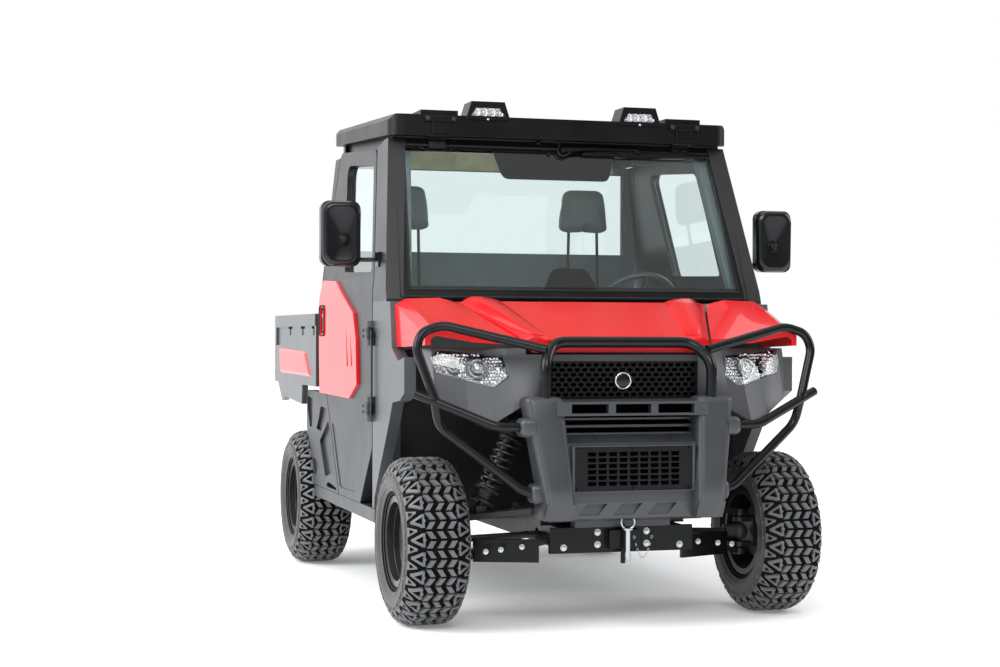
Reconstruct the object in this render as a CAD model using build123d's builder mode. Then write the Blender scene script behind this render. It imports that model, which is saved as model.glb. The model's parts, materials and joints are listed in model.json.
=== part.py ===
"""Side-by-side utility vehicle with a closed two-seat cab, a tilting cargo bed and a tubular front guard.

Frame: +Z up, ground at Z = 0, front faces -Y, +X is the driver's side.  The origin is on the ground at the
middle of the overall box.  Millimetres.
"""
from build123d import *
from math import cos, hypot, radians, sin
import os

os.makedirs("parts", exist_ok=True)

# ---------------------------------------------------------------- clearances
CLEAR = 5.0                      # between pieces that move past each other
PANEL_GAP = 8.0                  # seam between a door and the panels around it
RUNNING_GAP = 0.06               # radial, pins and spindles in their bores
SEAT_GAP = 0.3                   # between curved faces that touch

# ---------------------------------------------------------------- wheels
TYRE_RADIUS = 318.0
FRONT_AXLE_Y = -1120.0
REAR_AXLE_Y = 930.0
FRONT_WHEEL_X = 710.0            # wheel centre plane from the middle of the vehicle
REAR_WHEEL_X = 725.0
FRONT_TYRE_WIDTH = 252.0
REAR_TYRE_WIDTH = 258.0
TREAD_CROWN_HALF = 78.0          # flat part of the tread, each way
SHOULDER_DROP = 20.0
SHOULDER_IN = 15.0
BULGE_RADIUS = 235.0             # widest part of the sidewall
BEAD_RADIUS = 158.0
BEAD_HALF = 95.0
BEAD_FILLER = 4.0                # how far the tyre stands up beside the flange
TYRE_FLATS = 26                  # flats round the carcass, with a lug on each, turn about to either side
LUG_HEIGHT = 13.0
LUG_ROOT = 3.0                   # lug's foot below the carcass
LUG_IN = 6.0                     # lug's inner end from the centre plane
LUG_TIP_IN = 4.0                 # lug's outer end inside the tyre's full width
LUG_TIP_DROP = 56.0              # and below the tread
LUG_TIP_DEPTH = 20.0
LUG_WIDTH = 38.0                 # round the tyre
LUG_START = -35.0                # round the tyre from the flat's middle, at the centre plane
LUG_LEAD = 52.0                  # how far the lug slants over half of the tyre's width
FLANGE_RADIUS = 172.0
FLANGE_HALF = 101.0
RIM_WALL = 9.0
DISC_OUT = 34.0                  # outer face of the wheel disc from the centre plane
DISC_THICKNESS = 8.0
DISC_SLOPE_IN = 16.0             # the disc's outer edge slopes up to the rim over this depth
DISC_SLOPE_DOWN = 22.0
HUB_RADIUS = 48.0
HUB_CAP = 16.0                   # hub face outside the disc
HUB_IN = -10.0                   # inner end of the wheel hub from the centre plane
SPINDLE_RADIUS = 20.0
BORE_END = 30.0                  # closed end of the hub's bore from the centre plane
SPINDLE_CLEAR = 0.5

# ---------------------------------------------------------------- suspension
KINGPIN_IN = 110.0               # kingpin axis inboard of the wheel plane
LOWER_BALL_DROP = 78.0           # ball joints below and above the wheel's centre
UPPER_BALL_RISE = 77.0
LOWER_BALL_Z = TYRE_RADIUS - LOWER_BALL_DROP
UPPER_BALL_Z = TYRE_RADIUS + UPPER_BALL_RISE
BALL_PAD_RADIUS = 26.0
BALL_PAD_HALF = 12.0
BALL_PIN_RADIUS = 8.0
LUG_THICKNESS = 18.0
LUG_GAP = 7.0                    # between a carrier lug and the arm's ball pad
CARRIER_IN = 70.0                # inner face of the hub carrier plate from the wheel plane
CARRIER_THICKNESS = 20.0
CARRIER_HALF_WIDTH = 42.0
BRAKE_RADIUS = 105.0
BRAKE_THICKNESS = 8.0
BRAKE_OUT = 8.0                  # disc from the carrier plate
CALIPER_Y = (40.0, 84.0)         # from the axle
CALIPER_HALF_HEIGHT = 46.0
ARM_THICKNESS = 22.0
ARM_SPREAD = 140.0               # half distance between an arm's two frame pivots
ARM_BAR = 30.0
ARM_LEG = 34.0                   # width of a wishbone's leg at the frame
ARM_TIP_HALF = 16.0
ARM_TIP_WEB = 125.0              # solid web behind the ball pad
LOWER_ARM_FRAME_Z = 318.0
UPPER_ARM_FRAME_Z = 436.0
SHAFT_RADIUS = 13.0
SHAFT_BOOT_RADIUS = 33.0
SHAFT_BOOT_LENGTH = 70.0
SHAFT_BORE = 9.0                 # radial room around a drive shaft where it crosses a rail
SHAFT_FRAME_Z = 334.0
SHOCK_TOP_X = 337.0
SHOCK_LOW_X = 482.0
SHOCK_LOW_RISE = 25.0            # lower eye above the upper arm's middle
SHOCK_TOP_DROP = 45.0            # upper eye below the bracket
DAMPER_RADIUS = 24.0
DAMPER_ROD_RADIUS = 16.0
DAMPER_SHARE = 0.55              # of the shock's length that is damper body
SPRING_SEAT_RADIUS = 48.0
SPRING_SEATS = ((0.12, 0.15), (0.90, 0.93))     # start and end of each seat along the shock
SHOCK_EYE_HALF = 20.0
SHOCK_EYE_WIDTH = 32.0
SHOCK_FOOT_WIDTH = 60.0
SHOCK_FOOT_DROP = 11.0           # foot below the upper arm's middle, where the arm is cut out of it

# ---------------------------------------------------------------- frame
RAIL_OUT = 250.0
RAIL_WIDTH = 60.0
RAIL_IN = RAIL_OUT - RAIL_WIDTH
RAIL_BOTTOM = 300.0
RAIL_TOP = 380.0
FRAME_FRONT = -1370.0
FRAME_REAR = 1470.0
MEMBER = 40.0                    # width of a cross-member
MEMBER_INSET = 10.0              # cross-member below the rail's top and above its bottom
SHAFT_Z = 340.0                  # propeller shaft
PROP_RADIUS = 20.0
PROP_ROOM = 6.0
SILL_RAIL_IN = 690.0
SILL_RAIL_OUT = 745.0
SILL_RAIL_BOTTOM = 345.0
SILL_RAIL_REAR = 590.0
TOWER_OUT = 290.0
TOWER_WALL = 50.0
TOWER_HALF = 60.0
TOWER_FOOT_HALF = 170.0
TOWER_FOOT_TOP = 480.0
TOWER_BRACKET_OUT = 385.0
TOWER_BRACKET_HALF = 45.0
TOWER_BRACKET = 30.0
BED_RAIL_IN = 230.0
BED_RAIL_BOTTOM = 805.0
BED_RAIL_TOP = 850.0
BED_RAIL_REAR = 1440.0
GUARD_BAR_Z = (580.0, 640.0)
GUARD_BAR_HALF = 620.0
GUARD_BAR_THICKNESS = 30.0
REAR_LAMP_IN = 470.0
REAR_LAMP_TOP = 720.0
REAR_LAMP_DEPTH = 42.0
DRAWBAR_TOP = 620.0
DRAWBAR_BOTTOM = 320.0

# ---------------------------------------------------------------- cab
SIDE_X = 796.0                   # outer face of the doors below the break line
SIDE_TOP_X = 728.0               # outer face of the doors at SIDE_TOP_Z
SIDE_BOTTOM_Z = 300.0
BREAK_Z = 1280.0                 # above this line the sides lean in
SIDE_TOP_Z = 1940.0
DOOR_THICKNESS = 46.0
DOOR_GLASS_IN = 20.0             # outer face of the door glass behind the door's
GLASS = 6.0
FIREWALL_Y = -640.0
FIREWALL = 20.0
FIREWALL_TOP = 1040.0
CAB_REAR = 440.0                 # outside of the rear wall
REAR_WALL = 30.0
FLOOR = 30.0
FLOOR_BOTTOM = 395.0
FLOOR_TOP = FLOOR_BOTTOM + FLOOR
FLOOR_HALF = 740.0
COWL_HALF = 735.0
SCREEN_FOOT = (742.0, -882.0, 1263.0)     # outer lower corner of the windscreen frame
SCREEN_HEAD = (714.0, -628.0, 1906.0)
SCREEN_SKIRT = 22.0              # the frame reaches this far below its corner
SCREEN_BORDER = 42.0
SCREEN_BORDER_LOW = 20.0
SCREEN_DEPTH = 30.0
SCREEN_GLASS_IN = 6.0
POST_WIDTH = 46.0
POST_DEPTH = 40.0
HEAD_RAIL_OUT = 675.0
HEAD_RAIL_WIDTH = 50.0
HEAD_RAIL_DROP = 60.0            # below the eaves
HEAD_RAIL_RISE = 12.0            # above the eaves
HEAD_FRONT = -600.0
EAVES_FRONT_Z = 1904.0
EAVES_REAR_Z = 1966.0
ROOF_FRONT = -695.0
ROOF_REAR = 448.0
ROOF_HALF = 736.0
ROOF_FRONT_HEIGHT = 86.0
ROOF_REAR_HEIGHT = 76.0
ROOF_EDGE = 24.0                 # sloping edge around the roof's top
ROOF_SKIN = 16.0
ROOF_CORNER = 60.0
ROOF_BEAM = 126.0                # solid border of the roof
HEADLINER = 8.0
LAMP_SINK = 14.0                 # the lamps' foot below the roof's front edge
LAMP_HEIGHT = 74.0
LAMP_X = (235.0, 424.0)
LAMP_DEPTH = 110.0
LAMP_PROUD = 9.0
LENS_BORDER = 22.0               # pod's wall beside the lens
LENS_RISE = 14.0                 # lens above the pod's foot
LENS_TOP = 24.0                  # and below its top
LENS_POCKET = 10.0
LENS_IN = 3.0                    # lens behind the pod's face
ROOF_PAD_X = (452.0, 608.0)      # raised pads over the windscreen's hinges
ROOF_PAD_Y = (-685.0, -545.0)
ROOF_PAD_HEIGHT = 20.0           # above the roof's front edge
WINDOW_REAR_HALF = 665.0
WINDOW_REAR_Z = (1484.0, 1866.0)

# ---------------------------------------------------------------- seats
SEAT_BOX_HALF = 620.0
SEAT_BOX_Y = (-110.0, 330.0)
SEAT_BOX_WALL = 30.0
SEAT_BOX_TOP = 640.0
SEAT_MIDDLE_HALF = 205.0
SEAT_SEAM = 10.0
SEAT_INNER = SEAT_MIDDLE_HALF + SEAT_SEAM
# each seat's sides
SEAT_X = ((-SEAT_BOX_HALF, -SEAT_INNER), (-SEAT_MIDDLE_HALF, SEAT_MIDDLE_HALF), (SEAT_INNER, SEAT_BOX_HALF))
HEADREST_X = 435.0
HEADREST_POST_X = 70.0
HEADREST_POST_RADIUS = 7.0
HEADREST_Y = (285.0, 368.0)
HEADREST_BOTTOM = 1568.0
HEADREST_TOP = 1796.0
HEADREST_HALF = 130.0
HEADREST_CORNER = 30.0
SEAT_BACK_TOP = 1200.0

# ---------------------------------------------------------------- steering
WHEEL_CENTRE = (421.0, -420.0, 1225.0)
COLUMN_TILT = 40.0               # degrees above the horizontal
STEERING_RADIUS = 185.0
STEERING_RIM = 14.0
STEERING_HUB_RADIUS = 42.0
STEERING_SHAFT_RADIUS = 15.0
SPOKE_RADIUS = 10.0
COLUMN_RADIUS = 24.0
COLUMN_LENGTH = 268.0

# ---------------------------------------------------------------- doors
HINGE_X = 812.0
HINGE_Y = -650.0
HINGE_HEIGHTS = (1105.0, 800.0)
HINGE_PIN_RADIUS = 6.0
HINGE_BARREL_RADIUS = 11.0
HINGE_SLEEVE_HALF = 24.0
HINGE_EAR = 24.0
HINGE_EAR_GAP = 2.0
HINGE_LEAF = 45.0
DOOR_TRIM = 14.0                 # how far the coloured panel stands out

# ---------------------------------------------------------------- nose
BONNET_PIVOT_Y = -925.0
BONNET_PIVOT_Z = 1206.0
BONNET_PIN_RADIUS = 7.0
BONNET_SKIN = 20.0
BONNET_REAR = -943.0
BONNET_FRONT = -1360.0
BONNET_LIP_Z = 1034.0
BONNET_LIP = 15.0
BONNET_LIP_HALF = 345.0
BONNET_HINGE_X = (290.0, 310.0)
BONNET_EAR = 16.0
BONNET_EAR_GAP = 6.0
FENDER_REAR = -955.0
FENDER_FRONT = -1325.0
MASK_TOP = 1050.0
MASK_LOW = 772.0
MASK_DEPTH = 40.0
GRILLE_HALF = 303.0
GRILLE_Z = (862.0, 1002.0)
GRILLE_RECESS = -1392.0
GRILLE_PLATE = 8.0
LOWER_GRILLE_HALF = 232.0
LOWER_GRILLE_Z = (525.0, 688.0)
LOWER_GRILLE_Y = -1516.0
BUMPER_BACK = -1400.0
BUMPER_TOP = 860.0
HOOP_RADIUS = 21.0
LOOP_RADIUS = 17.5

# ---------------------------------------------------------------- bed
BED_FRONT = 460.0
BED_REAR = 1580.0
BED_HALF = 815.0
BED_BOTTOM = 860.0
BED_FLOOR = 25.0
BED_TOP = 1196.0
BED_WALL = 35.0
BED_CAP = 60.0
BED_CAP_HEIGHT = 56.0
BED_CAP_REAR = 1536.0
BED_SKIRT = 28.0
BED_PIVOT_Y = 1475.0
BED_PIVOT_Z = 835.0
BED_PIN_RADIUS = 8.0
BED_EAR = 8.0
BED_EAR_GAP = 2.0
BED_LUG = 14.0
BED_LUG_IN = 250.0
BED_ACCENT = 7.0
TAILGATE_INSIDE = 21.0           # tailgate's inner and outer face from its pivot
TAILGATE_OUTSIDE = 9.0
TAILGATE_PIVOT = (1566.0, 907.0)
TAILGATE_PIN_RADIUS = 6.0
TAILGATE_SIDE_GAP = 6.0
TAILGATE_FLOOR_GAP = 8.0
HITCH_OUT = 32.0
HITCH_WALL = 6.5
HITCH_Z = 412.0
HITCH_Y = (1430.0, 1560.0)
HITCH_PIN_Y = 1525.0
HITCH_PIN_RADIUS = 8.0
HITCH_PLATE_IN = 1445.0          # front face of the plate behind the receiver tube
HITCH_BACK_HALF = 120.0
HITCH_BACK_TOP = 460.0


def keep(piece, name):
    """Label a finished piece and write it as one STEP file."""
    piece.part.label = name
    export_step(piece.part, "parts/" + name + ".step")


def block(x0, x1, y0, y1, z0, z1, mode=Mode.ADD):
    """A box between two corners, inside the part that is being built."""
    with Locations(((x0 + x1) / 2, (y0 + y1) / 2, (z0 + z1) / 2)):
        Box(abs(x1 - x0), abs(y1 - y0), abs(z1 - z0), mode=mode)


def outline(plane, points):
    """A closed face on a plane from rows of (u, v) or (u, v, corner radius)."""
    with BuildSketch(plane) as profile:
        with BuildLine():
            Polyline(*[row[:2] for row in points], close=True)
        make_face()
        for u, v, radius in [row for row in points if len(row) == 3]:
            fillet(profile.vertices().sort_by_distance((u, v, 0))[0], radius)
    return profile.sketch


def slab(points, x0, x1, mode=Mode.ADD):
    """A side profile of (y, z) points made solid between x0 and x1."""
    extrude(outline(Plane.YZ.offset(x0), points), amount=x1 - x0, mode=mode)


def panel(points, y0, y1, mode=Mode.ADD):
    """A front profile of (x, z) points made solid between y0 and y1."""
    extrude(outline(Plane.XZ.offset(-y1), points), amount=y1 - y0, mode=mode)


def plate(points, z0, z1, mode=Mode.ADD):
    """A plan of (x, y) points made solid between z0 and z1."""
    extrude(outline(Plane.XY.offset(z0), points), amount=z1 - z0, mode=mode)


def blend_y(rear, y_rear, front, y_front, mode=Mode.ADD):
    """A straight-sided solid between two front profiles of (x, z) points."""
    ends = [outline(Plane.XZ.offset(-y_rear), rear).face(), outline(Plane.XZ.offset(-y_front), front).face()]
    loft(ends, ruled=True, mode=mode)


def blend_z(low, z_low, high, z_high, mode=Mode.ADD):
    """A straight-sided solid between two plans of (x, y) points."""
    ends = [outline(Plane.XY.offset(z_low), low).face(), outline(Plane.XY.offset(z_high), high).face()]
    loft(ends, ruled=True, mode=mode)


def rod(start, end, radius, mode=Mode.ADD):
    """A round bar between two points."""
    a, b = Vector(*start), Vector(*end)
    with BuildSketch(Plane(origin=a, z_dir=b - a)) as end_face:
        Circle(radius)
    extrude(end_face.sketch, amount=(b - a).length, mode=mode)


def tube(path, radius):
    """A bent round tube: straight runs with a ball at each bend."""
    for start, end in zip(path, path[1:]):
        rod(start, end, radius)
    for corner in path[1:-1]:
        with Locations(corner):
            Sphere(radius)


def fit(*others):
    """Cut the pieces that this one bears on out of it."""
    for other in others:
        add(other.part, mode=Mode.SUBTRACT)


def mirrored(piece):
    """The same piece on the other side of the vehicle."""
    with BuildPart() as other:
        add(mirror(piece.part, about=Plane.YZ))
    return other


def both_sides(piece):
    """A piece together with its mirror image, as one node."""
    with BuildPart() as pair:
        add(piece.part)
        mirror(about=Plane.YZ)
    return pair


def square(x, y, width, depth):
    """The plan of a post, round its centre."""
    w, d = width / 2, depth / 2
    return [(x - w, y - d), (x + w, y - d), (x + w, y + d), (x - w, y + d)]


def side_x(z):
    """Outer face of the cab's side at a height."""
    lean = (SIDE_X - SIDE_TOP_X) / (SIDE_TOP_Z - BREAK_Z)
    return SIDE_X - lean * max(0.0, z - BREAK_Z)


def eaves(y):
    """Lower edge of the roof at a place along the vehicle."""
    return EAVES_FRONT_Z + (EAVES_REAR_Z - EAVES_FRONT_Z) * (y - ROOF_FRONT) / (ROOF_REAR - ROOF_FRONT)


def side_wall(points, thickness, depth=0.0):
    """A piece of the cab's side of even thickness, cut to a (y, z) outline; depth sets it behind the face."""
    low, high = SIDE_X - depth, SIDE_TOP_X - depth
    y0, y1 = min(row[0] for row in points), max(row[0] for row in points)
    with BuildPart() as cutter:
        slab(points, SIDE_TOP_X - depth - 2 * thickness, SIDE_X + thickness)
    with BuildPart() as wall:
        panel([(low - thickness, SIDE_BOTTOM_Z), (low, SIDE_BOTTOM_Z), (low, BREAK_Z), (high, SIDE_TOP_Z),
               (high - thickness, SIDE_TOP_Z), (low - thickness, BREAK_Z)], y0, y1)
        add(cutter.part, mode=Mode.INTERSECT)
    return wall


# ================================================================ wheels
def hoop(centre, x, radius):
    """A section across the faceted tyre: a polygon with a flat at the bottom."""
    with BuildSketch(Plane(origin=centre + Vector(x, 0, 0), x_dir=(0, 1, 0), z_dir=(1, 0, 0))) as section:
        RegularPolygon(radius, TYRE_FLATS, major_radius=False, rotation=180 / TYRE_FLATS - 90)
    return section.sketch.face()


def tyre(width, wheel_x, axle_y):
    """A tyre with flats round it and slanted lugs on them."""
    half = width / 2
    centre = Vector(wheel_x, axle_y, TYRE_RADIUS)
    carcass = TYRE_RADIUS - LUG_HEIGHT
    # distance from the centre plane, radius
    sections = ((half, BULGE_RADIUS), (half - SHOULDER_IN, carcass - SHOULDER_DROP),
                (TREAD_CROWN_HALF, carcass))
    across = [(-x, r) for x, r in sections] + list(reversed(sections))
    with BuildPart() as lug:
        profile = [(LUG_IN, LUG_HEIGHT + LUG_ROOT), (LUG_IN, 0), (TREAD_CROWN_HALF, 0),
                   (half - SHOULDER_IN, SHOULDER_DROP), (half - LUG_TIP_IN, LUG_TIP_DROP),
                   (half - LUG_TIP_IN - LUG_TIP_DEPTH, LUG_TIP_DROP), (TREAD_CROWN_HALF,
                                                                       LUG_HEIGHT + LUG_ROOT)]
        extrude(outline(Plane.XZ, profile), amount=2 * LUG_LEAD, both=True)
        plan = [(0, LUG_START), (half, LUG_START + LUG_LEAD), (half, LUG_START + LUG_LEAD + LUG_WIDTH),
                (0, LUG_START + LUG_WIDTH)]
        extrude(outline(Plane.XY, plan), amount=2 * LUG_TIP_DROP, both=True, mode=Mode.INTERSECT)
    rows = (lug.part, mirror(lug.part, about=Plane.YZ))
    foot = Location((wheel_x, axle_y, 0))
    axle_line = Axis(centre, (1, 0, 0))
    with BuildPart() as made:
        loft([hoop(centre, x, r) for x, r in across], ruled=True)
        for side in (-1, 1):
            loft([hoop(centre, side * (BEAD_HALF - SEAT_GAP), FLANGE_RADIUS + BEAD_FILLER),
                  hoop(centre, side * half, BULGE_RADIUS)], ruled=True, mode=Mode.SUBTRACT)
        extrude(hoop(centre, -half, BEAD_RADIUS + SEAT_GAP), amount=width, mode=Mode.SUBTRACT)
        add([rows[flat % 2].moved(foot).rotate(axle_line,
                                               360 * flat / TYRE_FLATS) for flat in range(TYRE_FLATS)])
    return made


def rim(wheel_x, axle_y):
    """A dished steel wheel with its hub, for the +X side."""
    centre = (wheel_x, axle_y, TYRE_RADIUS)
    inner = BEAD_RADIUS - RIM_WALL
    bore = SPINDLE_RADIUS + RUNNING_GAP
    disc_back = DISC_OUT - DISC_THICKNESS
    section = [
        (-FLANGE_HALF, FLANGE_RADIUS), (-BEAD_HALF, FLANGE_RADIUS), (-BEAD_HALF, BEAD_RADIUS),
        (BEAD_HALF, BEAD_RADIUS), (BEAD_HALF, FLANGE_RADIUS), (FLANGE_HALF, FLANGE_RADIUS),
        (FLANGE_HALF, inner), (DISC_OUT + DISC_SLOPE_IN, inner), (DISC_OUT, inner - DISC_SLOPE_DOWN),
        (DISC_OUT, HUB_RADIUS + RIM_WALL), (DISC_OUT + HUB_CAP, HUB_RADIUS), (DISC_OUT + HUB_CAP, 0),
        (BORE_END, 0), (BORE_END, bore), (HUB_IN, bore), (HUB_IN, HUB_RADIUS), (disc_back, HUB_RADIUS),
        (disc_back, inner), (-FLANGE_HALF, inner)]
    with BuildPart() as made:
        plane = Plane(origin=centre, x_dir=(1, 0, 0), z_dir=(0, -1, 0))
        revolve(outline(plane, section), axis=Axis(centre, (1, 0, 0)))
    return made


# axle, wheel plane, axle line, tyre width
AXLES = (
    ("front", FRONT_WHEEL_X, FRONT_AXLE_Y, FRONT_TYRE_WIDTH),
    ("rear", REAR_WHEEL_X, REAR_AXLE_Y, REAR_TYRE_WIDTH))
for axle, wheel_x, axle_y, width in AXLES:
    left_tyre = tyre(width, wheel_x, axle_y)
    left_rim = rim(wheel_x, axle_y)
    keep(left_tyre, "tyre_" + axle + "_left")
    keep(left_rim, "rim_" + axle + "_left")
    keep(mirrored(left_tyre), "tyre_" + axle + "_right")
    keep(mirrored(left_rim), "rim_" + axle + "_right")


# ================================================================ frame
def prop_hole():
    """Cut the propeller shaft's way through what is being built."""
    rod((0, FRONT_AXLE_Y, SHAFT_Z), (0, REAR_AXLE_Y, SHAFT_Z), PROP_RADIUS + PROP_ROOM, mode=Mode.SUBTRACT)


with BuildPart() as frame_rails:
    block(RAIL_IN, RAIL_OUT, FRAME_FRONT, FRAME_REAR, RAIL_BOTTOM, RAIL_TOP)
    block(SILL_RAIL_IN, SILL_RAIL_OUT, FIREWALL_Y, SILL_RAIL_REAR, SILL_RAIL_BOTTOM, FLOOR_BOTTOM)
    for axle, wheel_x, axle_y, width in AXLES:
        rod((RAIL_IN, axle_y, SHAFT_FRAME_Z), (RAIL_OUT, axle_y, SHAFT_FRAME_Z), SHAFT_RADIUS + SHAFT_BORE,
            mode=Mode.SUBTRACT)
    mirror(about=Plane.YZ)
keep(frame_rails, "frame_rails")

MEMBERS_Y = (-1370.0, -980.0, -640.0, -20.0, 340.0, 740.0, 1080.0,
             1430.0)     # front face of each cross-member
OUTRIGGERS_Y = (-640.0, -20.0, 340.0, 550.0)
BED_POSTS_Y = (470.0, 1400.0)
with BuildPart() as frame_crossmembers:
    for y in MEMBERS_Y:
        block(-RAIL_IN, RAIL_IN, y, y + MEMBER, RAIL_BOTTOM + MEMBER_INSET, RAIL_TOP - MEMBER_INSET)
    prop_hole()
    for side in (-1, 1):
        for y in OUTRIGGERS_Y:
            block(side * RAIL_OUT, side * SILL_RAIL_IN, y, y + MEMBER, SILL_RAIL_BOTTOM, FLOOR_BOTTOM)
    # tie between the front towers
    block(-(TOWER_OUT - TOWER_WALL), TOWER_OUT - TOWER_WALL, FRONT_AXLE_Y - MEMBER / 2,
          FRONT_AXLE_Y + MEMBER / 2,
          BED_RAIL_BOTTOM - MEMBER, BED_RAIL_BOTTOM)
keep(frame_crossmembers, "frame_crossmembers")

with BuildPart() as frame_towers:
    for side in (-1, 1):
        for axle, wheel_x, axle_y, width in AXLES:
            block(side * RAIL_IN, side * TOWER_OUT, axle_y - TOWER_FOOT_HALF, axle_y + TOWER_FOOT_HALF,
                  RAIL_TOP, TOWER_FOOT_TOP)
            block(side * (TOWER_OUT - TOWER_WALL), side * TOWER_OUT, axle_y - TOWER_HALF, axle_y + TOWER_HALF,
                  TOWER_FOOT_TOP, BED_RAIL_BOTTOM)
            block(side * TOWER_OUT, side * TOWER_BRACKET_OUT, axle_y - TOWER_BRACKET_HALF,
                  axle_y + TOWER_BRACKET_HALF, BED_RAIL_BOTTOM - TOWER_BRACKET, BED_RAIL_BOTTOM)
    # posts and ties under the bed's rails
    for y in BED_POSTS_Y:
        block(-BED_RAIL_IN, BED_RAIL_IN, y, y + MEMBER, BED_RAIL_BOTTOM, BED_RAIL_TOP)
        for side in (-1, 1):
            block(side * (BED_RAIL_IN - MEMBER), side * RAIL_OUT, y, y + MEMBER, RAIL_TOP, BED_RAIL_BOTTOM)
keep(frame_towers, "frame_towers")

BED_EAR_IN = BED_LUG_IN + BED_LUG + BED_EAR_GAP
BED_LUG_OUT = BED_EAR_IN + BED_EAR + BED_EAR_GAP
LUG_SIDE = [(BED_RAIL_REAR, BED_RAIL_BOTTOM), (BED_PIVOT_Y + BED_PIN_RADIUS, BED_RAIL_BOTTOM),
            (BED_PIVOT_Y + 2 * BED_PIN_RADIUS, BED_PIVOT_Z), (BED_PIVOT_Y + BED_PIN_RADIUS, BED_RAIL_TOP),
            (BED_RAIL_REAR, BED_RAIL_TOP)]
with BuildPart() as bed_rails:
    block(BED_RAIL_IN, BED_LUG_OUT + BED_LUG, BED_FRONT + CLEAR, BED_RAIL_REAR, BED_RAIL_BOTTOM, BED_RAIL_TOP)
    # lugs that carry the bed's hinge
    for x in (BED_LUG_IN, BED_LUG_OUT):
        slab(LUG_SIDE, x, x + BED_LUG)
    rod((BED_LUG_IN, BED_PIVOT_Y, BED_PIVOT_Z), (BED_LUG_OUT + BED_LUG, BED_PIVOT_Y, BED_PIVOT_Z),
        BED_PIN_RADIUS + RUNNING_GAP, mode=Mode.SUBTRACT)
    mirror(about=Plane.YZ)
keep(bed_rails, "bed_rails")


# ================================================================ suspension
def arm(frame_x, frame_z, ball_x, ball_z, axle_y):
    """A wishbone: two legs from the frame to a solid web behind the ball pad."""
    reach = hypot(ball_x - frame_x, ball_z - frame_z)
    lean = Vector(ball_x - frame_x, 0, ball_z - frame_z)
    level = Plane(origin=(frame_x, axle_y, frame_z), x_dir=lean,
                  z_dir=(frame_z - ball_z, 0, ball_x - frame_x))
    inside = ARM_SPREAD - ARM_LEG
    whole = [(-ARM_THICKNESS, -ARM_SPREAD), (ARM_BAR, -ARM_SPREAD), (reach, -ARM_TIP_HALF),
             (reach, ARM_TIP_HALF),
             (ARM_BAR, ARM_SPREAD), (-ARM_THICKNESS, ARM_SPREAD)]
    gap = [(-ARM_THICKNESS, -inside), (ARM_BAR, -inside), (reach - ARM_TIP_WEB, -ARM_TIP_HALF),
           (reach - ARM_TIP_WEB, ARM_TIP_HALF), (ARM_BAR, inside), (-ARM_THICKNESS, inside)]
    extrude(outline(level, whole), amount=ARM_THICKNESS / 2, both=True)
    extrude(outline(level, gap), amount=ARM_THICKNESS, both=True, mode=Mode.SUBTRACT)
    block(frame_x - 2 * ARM_THICKNESS, frame_x, axle_y - 2 * ARM_SPREAD, axle_y + 2 * ARM_SPREAD,
          frame_z - 2 * ARM_THICKNESS, frame_z + 2 * ARM_THICKNESS, mode=Mode.SUBTRACT)


def ball_pad(x, y, z):
    """The round boss at an arm's outer end, bored for its ball pin."""
    with Locations((x, y, z)):
        Cylinder(BALL_PAD_RADIUS, 2 * BALL_PAD_HALF)
        Cylinder(BALL_PIN_RADIUS + RUNNING_GAP, 4 * BALL_PAD_HALF, mode=Mode.SUBTRACT)


def arms(wheel_x, axle_y):
    """The four wishbones of one axle."""
    ball_x = wheel_x - KINGPIN_IN
    with BuildPart() as made:
        arm(RAIL_OUT, LOWER_ARM_FRAME_Z, ball_x, LOWER_BALL_Z, axle_y)
        arm(TOWER_OUT, UPPER_ARM_FRAME_Z, ball_x, UPPER_BALL_Z, axle_y)
        ball_pad(ball_x, axle_y, LOWER_BALL_Z)
        ball_pad(ball_x, axle_y, UPPER_BALL_Z)
        mirror(about=Plane.YZ)
    return made


def carrier(wheel_x, axle_y):
    """A hub carrier: two lugs on the ball line, a plate outside them, spindle, brake disc and caliper."""
    ball_x = wheel_x - KINGPIN_IN
    low = LOWER_BALL_Z + BALL_PAD_HALF + LUG_GAP
    high = UPPER_BALL_Z - BALL_PAD_HALF - LUG_GAP
    plate_in = wheel_x - CARRIER_IN
    plate_out = plate_in + CARRIER_THICKNESS
    disc_in = plate_out + BRAKE_OUT
    for z0 in (low, high - LUG_THICKNESS):
        with Locations((ball_x, axle_y, z0 + LUG_THICKNESS / 2)):
            Cylinder(BALL_PAD_RADIUS, LUG_THICKNESS)
        block(ball_x, plate_out, axle_y - BALL_PAD_RADIUS, axle_y + BALL_PAD_RADIUS, z0, z0 + LUG_THICKNESS)
    block(plate_in, plate_out, axle_y - CARRIER_HALF_WIDTH, axle_y + CARRIER_HALF_WIDTH, low, high)
    rod((ball_x, axle_y, LOWER_BALL_Z - BALL_PAD_HALF), (ball_x, axle_y, low), BALL_PIN_RADIUS)
    rod((ball_x, axle_y, high), (ball_x, axle_y, UPPER_BALL_Z + BALL_PAD_HALF), BALL_PIN_RADIUS)
    rod((plate_out, axle_y, TYRE_RADIUS), (wheel_x + HUB_IN - CLEAR, axle_y, TYRE_RADIUS), HUB_RADIUS - CLEAR)
    rod((disc_in, axle_y, TYRE_RADIUS), (disc_in + BRAKE_THICKNESS, axle_y, TYRE_RADIUS), BRAKE_RADIUS)
    rod((plate_out, axle_y, TYRE_RADIUS), (wheel_x + BORE_END - SPINDLE_CLEAR, axle_y, TYRE_RADIUS),
        SPINDLE_RADIUS)
    block(plate_in, disc_in + 2 * BRAKE_THICKNESS, axle_y + CALIPER_Y[0], axle_y + CALIPER_Y[1],
          TYRE_RADIUS - CALIPER_HALF_HEIGHT, TYRE_RADIUS + CALIPER_HALF_HEIGHT)


front_arms = arms(FRONT_WHEEL_X, FRONT_AXLE_Y)
rear_arms = arms(REAR_WHEEL_X, REAR_AXLE_Y)
with BuildPart() as suspension_arms:
    add(front_arms.part)
    add(rear_arms.part)
keep(suspension_arms, "suspension_arms")

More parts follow.
